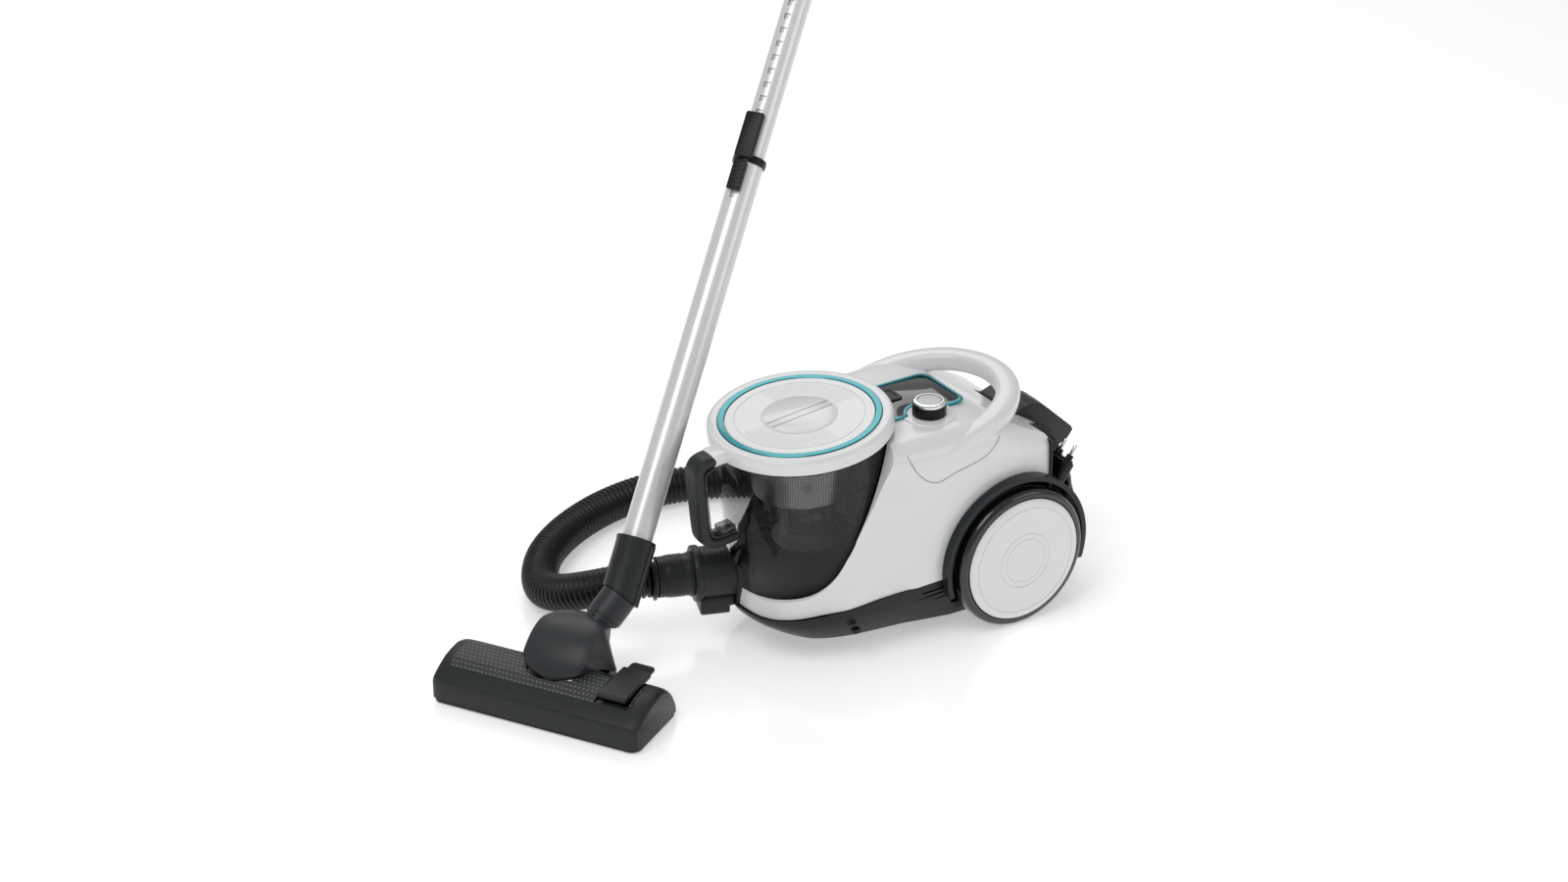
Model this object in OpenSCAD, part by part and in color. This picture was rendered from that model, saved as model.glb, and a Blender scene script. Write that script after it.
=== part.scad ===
// Canister vacuum cleaner: wheeled body with a lift-out dust bin, hose with hand grip,
// telescopic wand and floor head. Millimetres, +Z up, standing on the floor.

/* [Rear wheels] */
// Radius of a rear wheel over the tyre
wheel_r = 85; // [75:1:92]
// Width of a tyre
tyre_w = 26; // [18:1:30]
// Radius of the wheel disc
disc_r = 75; // [60:1:80]
// Inner face of each tyre from the middle plane
wheel_in = 112; // [110:1:120]
// Radius of the stub axles
axle_r = 6; // [4:0.5:8]

/* [Body] */
// Half width of the body at its widest
body_hw = 118; // [112:1:124]
// Wall of the body mouldings
wall = 2.6; // [2:0.1:3.4]
// Height of the body top above the floor
body_top = 250; // [240:1:252]
// Height of the lowest edge of the chassis pan
pan_bottom = 14; // [8:1:24]

/* [Dust bin] */
// Outer radius of the clear bin at its top
bin_r = 100; // [92:1:101]
// Outer radius of the clear bin at its bottom
bin_r_low = 95; // [88:1:97]
// Wall of the clear bin
bin_wall = 2.5; // [1.8:0.1:3.5]
// Height of the whole bin along its own axis
bin_h = 204; // [170:1:205]
// Outer radius of the white collar round the lid
collar_r = 105; // [102:1:107]
// Height of the collar
collar_h = 20; // [14:1:24]
// Forward lean of the bin in degrees
bin_lean = 5.33; // [3:0.01:7]

/* [Lid] */
// Outer radius of the coloured lid ring
ring_r = 92.3; // [88:0.1:95]
// Width of the coloured lid ring
ring_w = 7.6; // [4:0.1:10]
// Radius of the raised cap in the middle
cap_r = 42; // [30:1:50]

/* [Carry handle] */
// Half width of the handle loop over its outside
loop_hw = 101; // [90:1:104]
// Width of the handle section
loop_w = 28; // [22:1:32]
// Thickness of the handle section
loop_t = 24; // [18:1:28]
// Rise of the handle in degrees
loop_rise = 8; // [4:1:12]

/* [Hose and grip] */
// Outside diameter of the hose
hose_d = 44; // [36:1:46]
// Length of the rigid cuff in the inlet
cuff_l = 48; // [30:1:55]
// Outside diameter of the grip tube
grip_d = 38; // [36:1:42]
// Length of the grip spigot
spigot_l = 45; // [35:1:50]

/* [Wand] */
// Outside diameter of the lower tube
tube_d = 35; // [32:0.5:36]
// Outside diameter of the upper tube
inner_tube_d = 31; // [28:0.5:31.5]
// Wall of both tubes
tube_wall = 1; // [0.6:0.1:1.4]
// Length of the lower tube
lower_l = 503; // [420:1:560]
// Length of the upper tube
upper_l = 480; // [380:1:520]
// Length of the upper tube that shows above the collar
upper_out = 262; // [200:1:300]
// Lean of the wand from upright in degrees
wand_lean = 40; // [38:1:42]
// Length of the sleeve that holds the wand
sleeve_l = 66; // [50:1:80]

/* [Floor head] */
// Length of the floor head
head_l = 257; // [220:1:280]
// Depth of the floor head from front to back
head_d = 97; // [90:1:110]
// Turn of the floor head seen from above
head_turn = 32; // [30:1:34]
// Radius of the hood over the neck hinge
hood_r = 66; // [62:1:68]
// Half width of the hood
hood_hw = 34; // [28:1:36]

/* [Controls] */
// Radius of the power knob
knob_r = 19; // [15:1:22]
// Height of the power knob
knob_h = 19; // [14:1:22]
// Running clearance round small moving pieces
gap = 0.5; // [0.3:0.1:0.8]

/* [Hidden] */
// Rear axle in the row frame: X, Y
home_x = 249.5;
home_y = -87.8;
axle_z = wheel_r;
fit = 0.05;            // radial running fit of shafts

// Axis of the bin: where it meets the lid's top face
bin_top = [-214.5, 0, 268];

// Side outline of the chassis and the line where the white body meets it
seam = [[-303, 47], [-215, 47], [-74, 77], [124, 77]];
nose_x = -303;
tail_x = 124;

// Middle of the carry handle's half round
loop_x = -36;

// Inlet: middle of the mouth, and the turn of its axis from -X towards +Y
inlet = [-332, 43, 80];
inlet_turn = 20;
inlet_r = 31;
inlet_bore = 24.5;
cuff_r = 24;

// Knob and buttons on the top of the body
knob_xy = [-72, -48];
release_xy = [-86, 12];

// Floor head and neck, in the head's own frame: x to the back, y to its left
head_at = [-582.5, -36.7];
roller_x = 82;
neck_pin = [97, 22];
neck_pin_r = 5;
neck_root = [113, -12, 62];
sleeve_at = [151, -29, 96];

// Plug and its recess
plug_at = [92, -76, 150];
plug_lean = 35;

// Reel and motor inside the body
reel_at = [8, 8, 150];
reel_r = 62;
reel_h = 42;
motor_at = [-28, 0, 24];
motor_r = 56;
motor_h = 112;

// Route of the hose, laid on the floor and looped behind the body
hose_route = [
    [-377, 59, 80], [-394, 67, 78], [-415, 84, 70], [-434, 112, 56],
    [-446, 146, 40], [-446, 184, 27], [-432, 222, 22.5], [-406, 258, 22.5],
    [-370, 288, 22.5], [-326, 312, 22.5], [-278, 328, 22.5], [-226, 334, 22.5],
    [-176, 326, 22.5], [-130, 308, 22.5], [-88, 281, 22.5], [-46, 250, 22.5],
    [0, 222, 22.5], [52, 205, 22.5], [104, 202, 22.5], [150, 212, 22.5],
    [187, 237, 22.5], [209, 274, 22.5], [214, 318, 22.5], [199, 360, 22.5],
    [166, 392, 22.5], [128, 406, 22.5], [104, 409, 22.5], [90, 410, 22.5]];
hose_sides = 12;
hose_steps = 3;
grip_at = [90, 410, 22.5];
grip_bend_r = 150;
grip_bend = 25;

// ---------------------------------------------------------------- helpers

// Everything is drawn from the rear axle's foot and set into the row frame here
module home() translate([home_x, home_y, 0]) children();

module at_bin() home() translate(bin_top) rotate([0, -bin_lean, 0]) children();

module at_head() home() translate([head_at[0], head_at[1], 0])
    rotate([0, 0, head_turn]) children();

module at_wand() at_head() translate(sleeve_at) rotate([0, wand_lean, 0]) children();

module at_inlet() home() translate(inlet) rotate([0, 0, -inlet_turn])
    rotate([0, -90, 0]) children();

module at_grip() home() translate(grip_at) children();

module ring(ro, ri, h, fn = 96) difference() {
    cylinder(r = ro, h = h, $fn = fn);
    translate([0, 0, -1]) cylinder(r = ri, h = h + 2, $fn = fn);
}

// A round bar along Y
module bar_y(r, y0, y1, fn = 64) translate([0, y0, 0]) rotate([-90, 0, 0])
    cylinder(r = r, h = y1 - y0, $fn = fn);

// A slab in the XZ plane from an outline, spread along Y
module side_slab(points, y0, y1) translate([0, y1, 0]) rotate([90, 0, 0])
    linear_extrude(y1 - y0) polygon(points);

// A rounded rectangle, its corner at the origin
module pad2(w, d, r) {
    translate([r, 0]) square([w - 2 * r, d]);
    translate([0, r]) square([w, d - 2 * r]);
    for (x = [r, w - r], y = [r, d - r]) translate([x, y]) circle(r, $fn = 48);
}

// Plan outline of the body, pulled in by t
module plan2(t = 0) {
    translate([-197, 0]) circle(106 - t, $fn = 128);
    polygon([for (s = [1, -1]) each (s > 0
        ? [[-197, 106 - t], [-120, body_hw - 2 - t], [-40, body_hw - t],
           [60, body_hw - 6 - t], [104 - t, 94 - t / 2], [tail_x - t, 60]]
        : [[tail_x - t, -60], [104 - t, t / 2 - 94], [60, 6 + t - body_hw],
           [-40, t - body_hw], [-120, 2 + t - body_hw], [-197, t - 106]])]);
}

// Space of the wheels, on both sides
module wheel_wells(r, y_in) translate([0, 0, axle_z]) {
    bar_y(r, y_in, y_in + 60, 96);
    bar_y(r, -y_in - 60, -y_in, 96);
}

module bin_well(extra) at_bin() translate([0, 0, -bin_h - 2])
    cylinder(r1 = bin_r_low + extra, r2 = bin_r + extra, h = bin_h + 60, $fn = 128);

// ---------------------------------------------------------------- body

module chassis() color("dimgray") home() difference() {
    intersection() {
        translate([0, 0, pan_bottom]) linear_extrude(90) plan2();
        side_slab([[-286, pan_bottom], [nose_x, 30], [nose_x, 47], seam[1], seam[2],
            seam[3], [tail_x, 30], [112, pan_bottom]], -130, 130);
    }
    intersection() {
        translate([0, 0, pan_bottom + wall]) linear_extrude(90) plan2(wall);
        side_slab([[-282, pan_bottom + wall], [nose_x, 34], [nose_x, 120],
            [tail_x, 120], [tail_x, 32], [110, pan_bottom + wall]], -130, 130);
    }
    wheel_wells(wheel_r + 6, 104);
    for (s = [1, -1]) translate([0, s * 104, axle_z]) rotate([90, 0, 0])
        cylinder(r = axle_r + 3, h = 10, center = true, $fn = 48);
    for (i = [0 : 6], s = [1, -1])
        translate([-188 + i * 2, s * 118 - 8, 32 + i * 6]) cube([96 - i * 4, 16, 2.4]);
    translate([inlet[0] + 40, inlet[1] - 45, 40]) cube([60, 90, 50]);
    translate([-232, 0, 0]) cylinder(r = 20, h = 44, $fn = 64);
}

module upper_housing() color("white") difference() {
    home() intersection() {
        translate([0, 0, 40]) linear_extrude(230) plan2();
        side_slab([seam[0], [nose_x, 66], [-262, 70], [-240, 82], [-225, 100],
            [-150, body_top], [-20, body_top], [12, 232], [44, 214], [88, 197],
            [112, 160], [tail_x, 110], seam[3], seam[2], seam[1]], -130, 130);
    }
    home() intersection() {
        translate([0, 0, 30]) linear_extrude(230) plan2(wall);
        side_slab([[-94, 30], [-94, body_top - wall], [-22, body_top - wall],
            [10, 229], [42, 211], [86, 194], [109, 158], [tail_x - wall, 108],
            [tail_x - wall, 30]], -130, 130);
    }
    bin_well(2);
    home() wheel_wells(wheel_r + 6, 104);
    // front mouth for the inlet, and the pockets of the controls
    home() translate([inlet[0] + 20, inlet[1] - 48, 40]) cube([80, 96, 80]);
    home() translate([knob_xy[0], knob_xy[1], body_top - 10])
        cylinder(r = knob_r - 4, h = 40, $fn = 64);
    home() translate([release_xy[0] - 11, release_xy[1] - 15, body_top - 10])
        cube([22, 30, 40]);
    home() side_slab([[50, 260], [50, 199], [82, 185], [110, 157], [150, 150],
        [150, 260]], -37, 37);
    home() translate([54, -120, 118]) cube([80, 66, 92]);
}

module arch_trims() color("slategray") home() translate([0, 0, axle_z])
    for (s = [1, -1]) difference() {
        translate([0, s * 116, 0]) rotate([90, 0, 0]) translate([0, 0, -12])
            ring(wheel_r + 12.5, wheel_r + 6.4, 24);
        translate([-120, s * 116 - 20, -150]) cube([240, 40, 120]);
        // the ring stands on the body's flank
        translate([-120, s * 116 - 20, -axle_z]) intersection() {
            cube([240, 40, 300]);
            translate([120, 20 - s * 116, 0]) linear_extrude(300) plan2(-0.2);
        }
    }

module carry_handle() color("white") difference() {
    home() translate([loop_x, 0, 241]) rotate([0, -loop_rise, 0]) {
        rotate([0, 0, -90]) rotate_extrude(angle = 180, $fn = 128)
            translate([loop_hw - loop_w / 2, 0]) loop2();
        for (s = [1, -1]) translate([0.01, s * (loop_hw - loop_w / 2), 0])
            rotate([0, -90, 0]) linear_extrude(114 + loop_x) rotate(90) loop2();
    }
    home() intersection() {
        translate([0, 0, 40]) linear_extrude(230) plan2(-0.3);
        side_slab([[-250, 40], [-225, 100], [-152, body_top + 0.1],
            [-20, body_top + 0.1], [12, 232.3], [44, 214.3], [60, 208], [60, 40]],
            -130, 130);
    }
    bin_well(8);
}

// Section of the carry handle, with its edges broken
module loop2() {
    w = loop_w / 2;
    t = loop_t / 2;
    polygon([[w, t - 8], [w - 2.5, t - 3], [w - 8, t], [8 - w, t], [2.5 - w, t - 3],
        [-w, t - 8], [-w, 8 - t], [2.5 - w, 3 - t], [8 - w, -t], [w - 8, -t],
        [w - 2.5, 3 - t], [w, 8 - t]]);
}

// Outline of the control panel, with a bite round the knob
module panel2(t) difference() {
    translate([-116 + t, -42 + t]) pad2(100 - 2 * t, 84 - 2 * t, 12 - t / 2);
    translate(knob_xy) circle(25 + t, $fn = 96);
}

module panel_frame() color("darkcyan") difference() {
    home() translate([0, 0, body_top]) linear_extrude(3.2) difference() {
        panel2(0);
        panel2(3.5);
    }
    bin_well(6);
}

module panel_glass() color([0.08, 0.09, 0.1]) difference() {
    home() translate([0, 0, body_top]) linear_extrude(2.6) difference() {
        panel2(3.6);
        translate([release_xy[0] - 10.5, release_xy[1] - 14.5]) pad2(21, 29, 4);
    }
    bin_well(7);
}

module at_knob() home() translate([knob_xy[0], knob_xy[1], body_top]) children();

module knob_skirt() color([0.05, 0.05, 0.06]) at_knob() difference() {
    union() {
        translate([0, 0, 0.4]) cylinder(r = knob_r, h = knob_h - 4.4, $fn = 96);
        translate([0, 0, -6]) cylinder(r = knob_r - 4.3, h = 8, $fn = 64);
        for (a = [0 : 15 : 345]) rotate(a) translate([knob_r - 0.6, 0, 1.4])
            cylinder(r = 1, h = knob_h - 6.4, $fn = 16);
    }
    translate([0, 0, 4]) cylinder(r = 14.5, h = 40, $fn = 64);
}

module knob_cap() color("silver") at_knob() translate([0, 0, knob_h - 4])
    difference() {
        union() {
            cylinder(r = knob_r - 0.2, h = 2, $fn = 96);
            translate([0, 0, 2]) cylinder(r1 = knob_r - 0.2, r2 = knob_r - 2, h = 2, $fn = 96);
        }
        translate([0, 0, -1]) cylinder(r = 14.5, h = 8, $fn = 64);
    }

module power_button() color("gainsboro") at_knob() translate([0, 0, 8])
    cylinder(r = 14.5 - gap, h = knob_h - 8.6, $fn = 64);

module release_button() color("black") home()
    translate([release_xy[0] - 10.5 + gap, release_xy[1] - 14.5 + gap, body_top - 3])
    linear_extrude(8) pad2(21 - 2 * gap, 29 - 2 * gap, 4 - gap);

module rear_cover() color("dimgray") home() difference() {
    union() {
        side_slab([[52, 200], [84, 187], [112, 159], [126, 150], [140, 158],
            [147, 168], [96, 214], [78, 216]], -36, 36);
    }
    // pocket of the rewind pedal, in the sloping face
    translate([116, 0, 196]) rotate([0, 42, 0])
        translate([-18, -15, -9]) cube([36, 30, 20]);
    side_slab([[84, 196], [112, 168], [124, 160], [134, 166], [112, 182],
        [96, 196]], -33, 33);
}

module rewind_pedal() color([0.15, 0.16, 0.17]) home() translate([116, 0, 196])
    rotate([0, 42, 0]) translate([-18 + gap, -15 + gap, -5]) linear_extrude(6)
        pad2(36 - 2 * gap, 30 - 2 * gap, 5);

module plug_recess() color("black") home() difference() {
    intersection() {
        translate([54.3, -119.7, 118.3]) cube([79.4, 65.4, 91]);
        translate([0, 0, 40]) linear_extrude(230) plan2(0.2);
        side_slab([[44, 60], [44, 213.6], [87.7, 196.7], [111.7, 159.8],
            [tail_x - 0.3, 110], [tail_x - 0.3, 60]], -130, 130);
    }
    translate([57, -130, 121]) cube([90, 72.6, 120]);
    translate([0, 0, axle_z]) bar_y(wheel_r + 1.5, -140, -110);
}

module at_plug() home() translate(plug_at) rotate([0, plug_lean, 0]) children();

module plug_body() color([0.07, 0.07, 0.08]) at_plug() {
    translate([-9, -17, -16]) linear_extrude(30) pad2(18, 34, 6);
    translate([0, 0, -22]) cylinder(r1 = 5, r2 = 8, h = 6, $fn = 48);
}

module plug_pins() color("silver") at_plug() for (s = [1, -1])
    translate([0, s * 9.5, 14]) {
        cylinder(r = 2.4, h = 17.5, $fn = 32);
        translate([0, 0, 17.5]) cylinder(r1 = 2.4, r2 = 1.4, h = 1.5, $fn = 32);
    }

// ---------------------------------------------------------------- inside

module reel_drum() color("gray") home() translate(reel_at) difference() {
    union() {
        cylinder(r = reel_r, h = 2, $fn = 96);
        cylinder(r = 34, h = reel_h - 6, $fn = 64);
        translate([0, 0, reel_h - 8]) cylinder(r = reel_r - 12, h = 2, $fn = 96);
    }
    translate([0, 0, -1]) cylinder(r = 8 + fit, h = reel_h + 2, $fn = 48);
}

module cord_pack() color([0.08, 0.08, 0.08]) home()
    translate([reel_at[0], reel_at[1], reel_at[2] + 2])
    ring(reel_r - 4, 34, reel_h - 10);

module motor_housing() color("lightgray") home() translate(motor_at) difference() {
    union() {
        cylinder(r = motor_r, h = motor_h, $fn = 96);
        cylinder(r = motor_r - 20, h = motor_h + 10, $fn = 96);
        // spindle that carries the cord reel
        translate([reel_at[0] - motor_at[0], reel_at[1] - motor_at[1], 90])
            cylinder(r = 8, h = reel_at[2] + reel_h - motor_at[2] - 92, $fn = 48);
    }
    translate([0, 0, 4]) cylinder(r = motor_r - 3, h = motor_h - 8, $fn = 96);
    translate([0, 0, -1]) cylinder(r = 4 + fit, h = 12, $fn = 48);
}

module rotor_shaft() color("silver") home() translate(motor_at) {
    translate([0, 0, 0.5]) cylinder(r = 4, h = 62, $fn = 48);
    translate([0, 0, 12]) cylinder(r = 26, h = 46, $fn = 64);
}

module impeller() color("gainsboro") home() translate(motor_at)
    translate([0, 0, 63]) {
        cylinder(r = 46, h = 2, $fn = 96);
        cylinder(r = 10, h = 16, $fn = 48);
        for (a = [0 : 40 : 320]) rotate(a) translate([9, -1, 2]) cube([36, 2, 14]);
    }

module exhaust_filter() color("white") home() translate([44, -42, 24])
    cube([54, 84, 92]);

// ---------------------------------------------------------------- inlet and hose

module inlet_socket() color([0.15, 0.17, 0.18]) difference() {
    union() {
        at_inlet() translate([0, 0, -64]) cylinder(r = inlet_r - 1, h = 64, $fn = 96);
        at_inlet() translate([0, 0, -8]) cylinder(r = inlet_r + 1, h = 8, $fn = 96);
        at_inlet() for (i = [0 : 5]) translate([0, 0, -44 + i * 6])
            cylinder(r = inlet_r - 0.4, h = 2.4, $fn = 96);
        at_inlet() translate([-45, -26, -52]) cube([24, 52, 44]);
    }
    at_inlet() translate([0, 0, -70]) cylinder(r = inlet_bore, h = 90, $fn = 96);
    bin_well(0.8);
    home() translate([-197, 0, 0]) cylinder(r = 106.3, h = 47.2, $fn = 128);
}

module hose_cuff() color([0.13, 0.15, 0.16]) at_inlet() difference() {
    union() {
        translate([0, 0, -30]) cylinder(r = inlet_bore - 0.3, h = 31, $fn = 96);
        translate([0, 0, 0.4]) cylinder(r = cuff_r + 1.5, h = 5, $fn = 96);
        cylinder(r = cuff_r, h = cuff_l - 1, $fn = 96);
        for (i = [0 : 4]) translate([0, 0, 12 + i * 7])
            cylinder(r = cuff_r + 0.9, h = 3.4, $fn = 96);
    }
    translate([0, 0, -40]) cylinder(r = 18, h = cuff_l + 60, $fn = 96);
}

function cat(p, i) = p[min(max(i, 0), len(p) - 1)];
// Point on a smooth curve through the route
function on_route(p, i, t) = let (a = cat(p, i - 1), b = cat(p, i),
    c = cat(p, i + 1), d = cat(p, i + 2)) 0.5 * (2 * b + t * (c - a)
    + t * t * (2 * a - 5 * b + 4 * c - d) + t * t * t * (3 * b - a - 3 * c + d));
function curve(p, n) = [for (i = [0 : len(p) - 2], k = [0 : n - 1])
    on_route(p, i, k / n), p[len(p) - 1]];

// A round tube swept along a route that never runs straight up
module cord_tube(points, d, sides) {
    n = len(points);
    function way(i) = let (a = points[max(i - 1, 0)], b = points[min(i + 1, n - 1)])
        (b - a) / norm(b - a);
    rings = [for (i = [0 : n - 1]) let (t = way(i),
        s = cross(t, [0, 0, 1]) / norm(cross(t, [0, 0, 1])), v = cross(s, t))
        each [for (k = [0 : sides - 1]) let (a = 360 * k / sides)
            points[i] + d / 2 * (cos(a) * s + sin(a) * v)]];
    faces = concat([[for (k = [0 : sides - 1]) k]],
        [for (i = [0 : n - 2], k = [0 : sides - 1]) let (m = (k + 1) % sides)
            [i * sides + k, (i + 1) * sides + k, (i + 1) * sides + m, i * sides + m]],
        [[for (k = [sides - 1 : -1 : 0]) (n - 1) * sides + k]]);
    polyhedron(points = rings, faces = faces);
}

module hose() color([0.1, 0.1, 0.11]) home()
    cord_tube(curve(hose_route, hose_steps), hose_d, hose_sides);

module grip_cuff() color([0.13, 0.14, 0.15]) at_grip() rotate([0, -90, 0])
    difference() {
        union() {
            cylinder(r = hose_d / 2 - 0.2, h = 44, $fn = 64);
            for (i = [0 : 3]) translate([0, 0, 6 + i * 8])
                cylinder(r = hose_d / 2 + 0.3, h = 3.5, $fn = 64);
        }
        translate([0, 0, 4]) cylinder(r = grip_d / 2 + 0.2, h = 60, $fn = 64);
        translate([0, 0, -1]) cylinder(r = 15, h = 60, $fn = 64);
    }

module at_bend_end() at_grip() translate([-44, -grip_bend_r, 0])
    rotate([0, 0, grip_bend]) translate([0, grip_bend_r, 0])
    rotate([0, -90, 0]) children();

// Distance from an end of the grip's bend to where its two straight lines meet
bend_leg = grip_bend_r * tan(grip_bend / 2);

// The grip as two straight lengths that meet at the bend
module grip_solid(r, more) {
    at_grip() translate([more - 4.4, 0, 0]) rotate([0, -90, 0])
        cylinder(r = r, h = 39.6 + bend_leg + more, $fn = 96);
    at_bend_end() translate([0, 0, -bend_leg - 6])
        cylinder(r = r - 0.1, h = bend_leg + 66, $fn = 96);
}

module grip_tube() color([0.13, 0.14, 0.15]) difference() {
    union() {
        grip_solid(grip_d / 2, 0);
        at_bend_end() translate([0, 0, 58]) cylinder(r = 17.4, h = 2 + spigot_l, $fn = 96);
    }
    at_bend_end() translate([0, 0, 20]) cylinder(r = 15, h = 100, $fn = 64);
}

module suction_slider() color("gray") at_bend_end()
    translate([grip_d / 2 + 0.4, -7, 12]) cube([3, 14, 26]);

// ---------------------------------------------------------------- wheels

module tyre(side) home() translate([0, 0, axle_z]) rotate([90, 0, 0])
    translate([0, 0, side > 0 ? -wheel_in - tyre_w : wheel_in])
    rotate_extrude($fn = 128) {
        translate([disc_r - 2, 0]) square([wheel_r - disc_r - 3, tyre_w]);
        translate([disc_r - 2, 5]) square([wheel_r - disc_r + 2, tyre_w - 10]);
        translate([wheel_r - 5, 5]) circle(5, $fn = 32);
        translate([wheel_r - 5, tyre_w - 5]) circle(5, $fn = 32);
    }

module disc(side) home() translate([0, 0, axle_z]) rotate([90, 0, 0])
    mirror([0, 0, side > 0 ? 1 : 0]) translate([0, 0, wheel_in])
    difference() {
        union() {
            cylinder(r = disc_r - 2.1, h = tyre_w, $fn = 128);
            translate([0, 0, tyre_w]) cylinder(r1 = disc_r, r2 = disc_r - 4, h = 5, $fn = 128);
        }
        translate([0, 0, -1]) ring(disc_r - 6, 16, tyre_w - 3, 128);
        translate([0, 0, -1]) cylinder(r = axle_r + fit, h = 19, $fn = 48);
        translate([0, 0, tyre_w + 4.2]) ring(66, 64.5, 4, 128);
        translate([0, 0, tyre_w + 4.2]) ring(34, 32.5, 4, 128);
    }

module tyre_left() color([0.05, 0.05, 0.06]) tyre(1);
module tyre_right() color([0.05, 0.05, 0.06]) tyre(-1);
module disc_left() color("white") disc(1);
module disc_right() color("white") disc(-1);

module wheel_axles() color("silver") home() translate([0, 0, axle_z]) {
    for (s = [1, -1]) {
        bar_y(axle_r, s > 0 ? 84 : -128, s > 0 ? 128 : -84, 48);
        bar_y(axle_r + 5, s > 0 ? 96 : -98.9, s > 0 ? 98.9 : -96, 48);
    }
}

module at_caster() home() translate([-232, 0, 0]) children();

module caster_fork() color("gray") at_caster() difference() {
    union() {
        translate([0, 0, 33]) cylinder(r = 14, h = 6, $fn = 64);
        translate([0, 0, 20]) cylinder(r = 14, h = 14, $fn = 64);
        for (s = [1, -1]) translate([-6, s * 11 - 2, 8]) cube([14, 4, 14]);
    }
    translate([4, 0, 12]) bar_y(13, -8.4, 8.4, 64);
    translate([4, 0, 12]) bar_y(2.5, -20, 20, 32);
}

module caster_wheel() color("dimgray") at_caster() translate([4, 0, 12])
    difference() {
        bar_y(12, -7.6, 7.6, 64);
        bar_y(2.5 + fit, -9, 9, 32);
    }

module caster_axle() color("silver") at_caster() translate([4, 0, 12])
    bar_y(2.5, -13, 13, 32);

module park_rail() color([0.15, 0.16, 0.17]) home() difference() {
    union() {
        translate([tail_x + 0.2, -62, 38]) cube([8, 124, 18]);
        translate([106, -86, 38]) cube([18, 26, 18]);
        translate([106, 60, 38]) cube([18, 26, 18]);
    }
    translate([0, 0, 20]) linear_extrude(60) plan2(-0.2);
}

module housing_screws() color("silver") home()
    for (p = [[-150, 70], [-150, -70], [60, 60], [60, -60]])
        translate([p[0], p[1], pan_bottom - 0.6]) difference() {
            cylinder(r = 4, h = 0.6, $fn = 32);
            translate([-3, -0.5, -0.5]) cube([6, 1, 0.8]);
        }

// ---------------------------------------------------------------- bin and lid

module bin_shell() color([0.4, 0.4, 0.4, 0.5]) at_bin() difference() {
    h = bin_h - collar_h - 4;
    translate([0, 0, 4 - bin_h]) cylinder(r1 = bin_r_low, r2 = bin_r, h = h, $fn = 128);
    translate([0, 0, 3.99 - bin_h])
        cylinder(r1 = bin_r_low - bin_wall, r2 = bin_r - bin_wall, h = h + 0.02, $fn = 128);
}

module bin_floor() color([0.15, 0.15, 0.15]) at_bin() translate([0, 0, -bin_h]) {
    cylinder(r = bin_r_low, h = 4, $fn = 128);
    translate([0, 0, 4]) ring(bin_r_low - bin_wall - 0.3, bin_r_low - 8, 6, 128);
}

module bin_seal() color([0.1, 0.1, 0.1]) at_bin() translate([0, 0, -collar_h]) {
    ring(bin_r + 1, ring_r + 1, 3, 128);
}

module bin_collar() color("white") at_bin() difference() {
    union() {
        translate([0, 0, 3 - collar_h]) cylinder(r = collar_r, h = collar_h - 5, $fn = 160);
        translate([0, 0, -2]) cylinder(r1 = collar_r, r2 = collar_r - 2, h = 2, $fn = 160);
        translate([-119, -13, 3 - collar_h]) cube([40, 26, 14]);
    }
    translate([0, 0, -collar_h]) cylinder(r = ring_r + gap, h = collar_h + 2, $fn = 160);
}

// The bin handle is drawn in the plane through the bin's axis: x outwards, y up
module handle2(outer) {
    difference() {
        translate(outer ? [-147, -120] : [-133, -110]) pad2(outer ? 70 : 56, outer ? 117 : 97, outer ? 14 : 9);
        translate(outer ? [-133, -110] : [-130.5, -107.5])
            pad2(outer ? 60 : 53, outer ? 97 : 92, outer ? 9 : 7);
    }
}

module bin_handle() color([0.12, 0.13, 0.14]) at_bin() difference() {
    translate([0, 13, 0]) rotate([90, 0, 0]) linear_extrude(26) handle2(true);
    translate([-119, -13.2, 2.8 - collar_h]) cube([60, 26.4, 30]);
    translate([0, 0, -bin_h]) cylinder(r = bin_r + 0.3, h = bin_h + 10, $fn = 128);
    translate([0, 0, 2.8 - collar_h]) cylinder(r = collar_r + 0.2, h = 40, $fn = 128);
}

module handle_liner() color([0.5, 0.5, 0.5, 0.5]) at_bin() difference() {
    translate([0, 11, 0]) rotate([90, 0, 0]) linear_extrude(22) handle2(false);
    translate([-119, -13.2, 2.8 - collar_h]) cube([60, 26.4, 30]);
    translate([0, 0, -bin_h]) cylinder(r = bin_r + 0.3, h = bin_h + 10, $fn = 128);
}

module lid_ring() color("darkcyan") at_bin() translate([0, 0, -4])
    ring(ring_r, ring_r - ring_w, 4.5, 160);

module lid_cover() color("white") at_bin() {
    difference() {
        union() {
            translate([0, 0, -6]) cylinder(r = ring_r - ring_w - 0.05, h = 5.4, $fn = 160);
            translate([0, 0, -0.7]) cylinder(r = cap_r, h = 1.7, $fn = 128);
            translate([0, 0, -24]) ring(64, 61, 19, 128);
        }
        translate([0, 0, -1.4]) ring(74.2, 73, 4, 128);
        translate([-cap_r, -4, 0.4]) cube([2 * cap_r, 8, 4]);
    }
}

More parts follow.
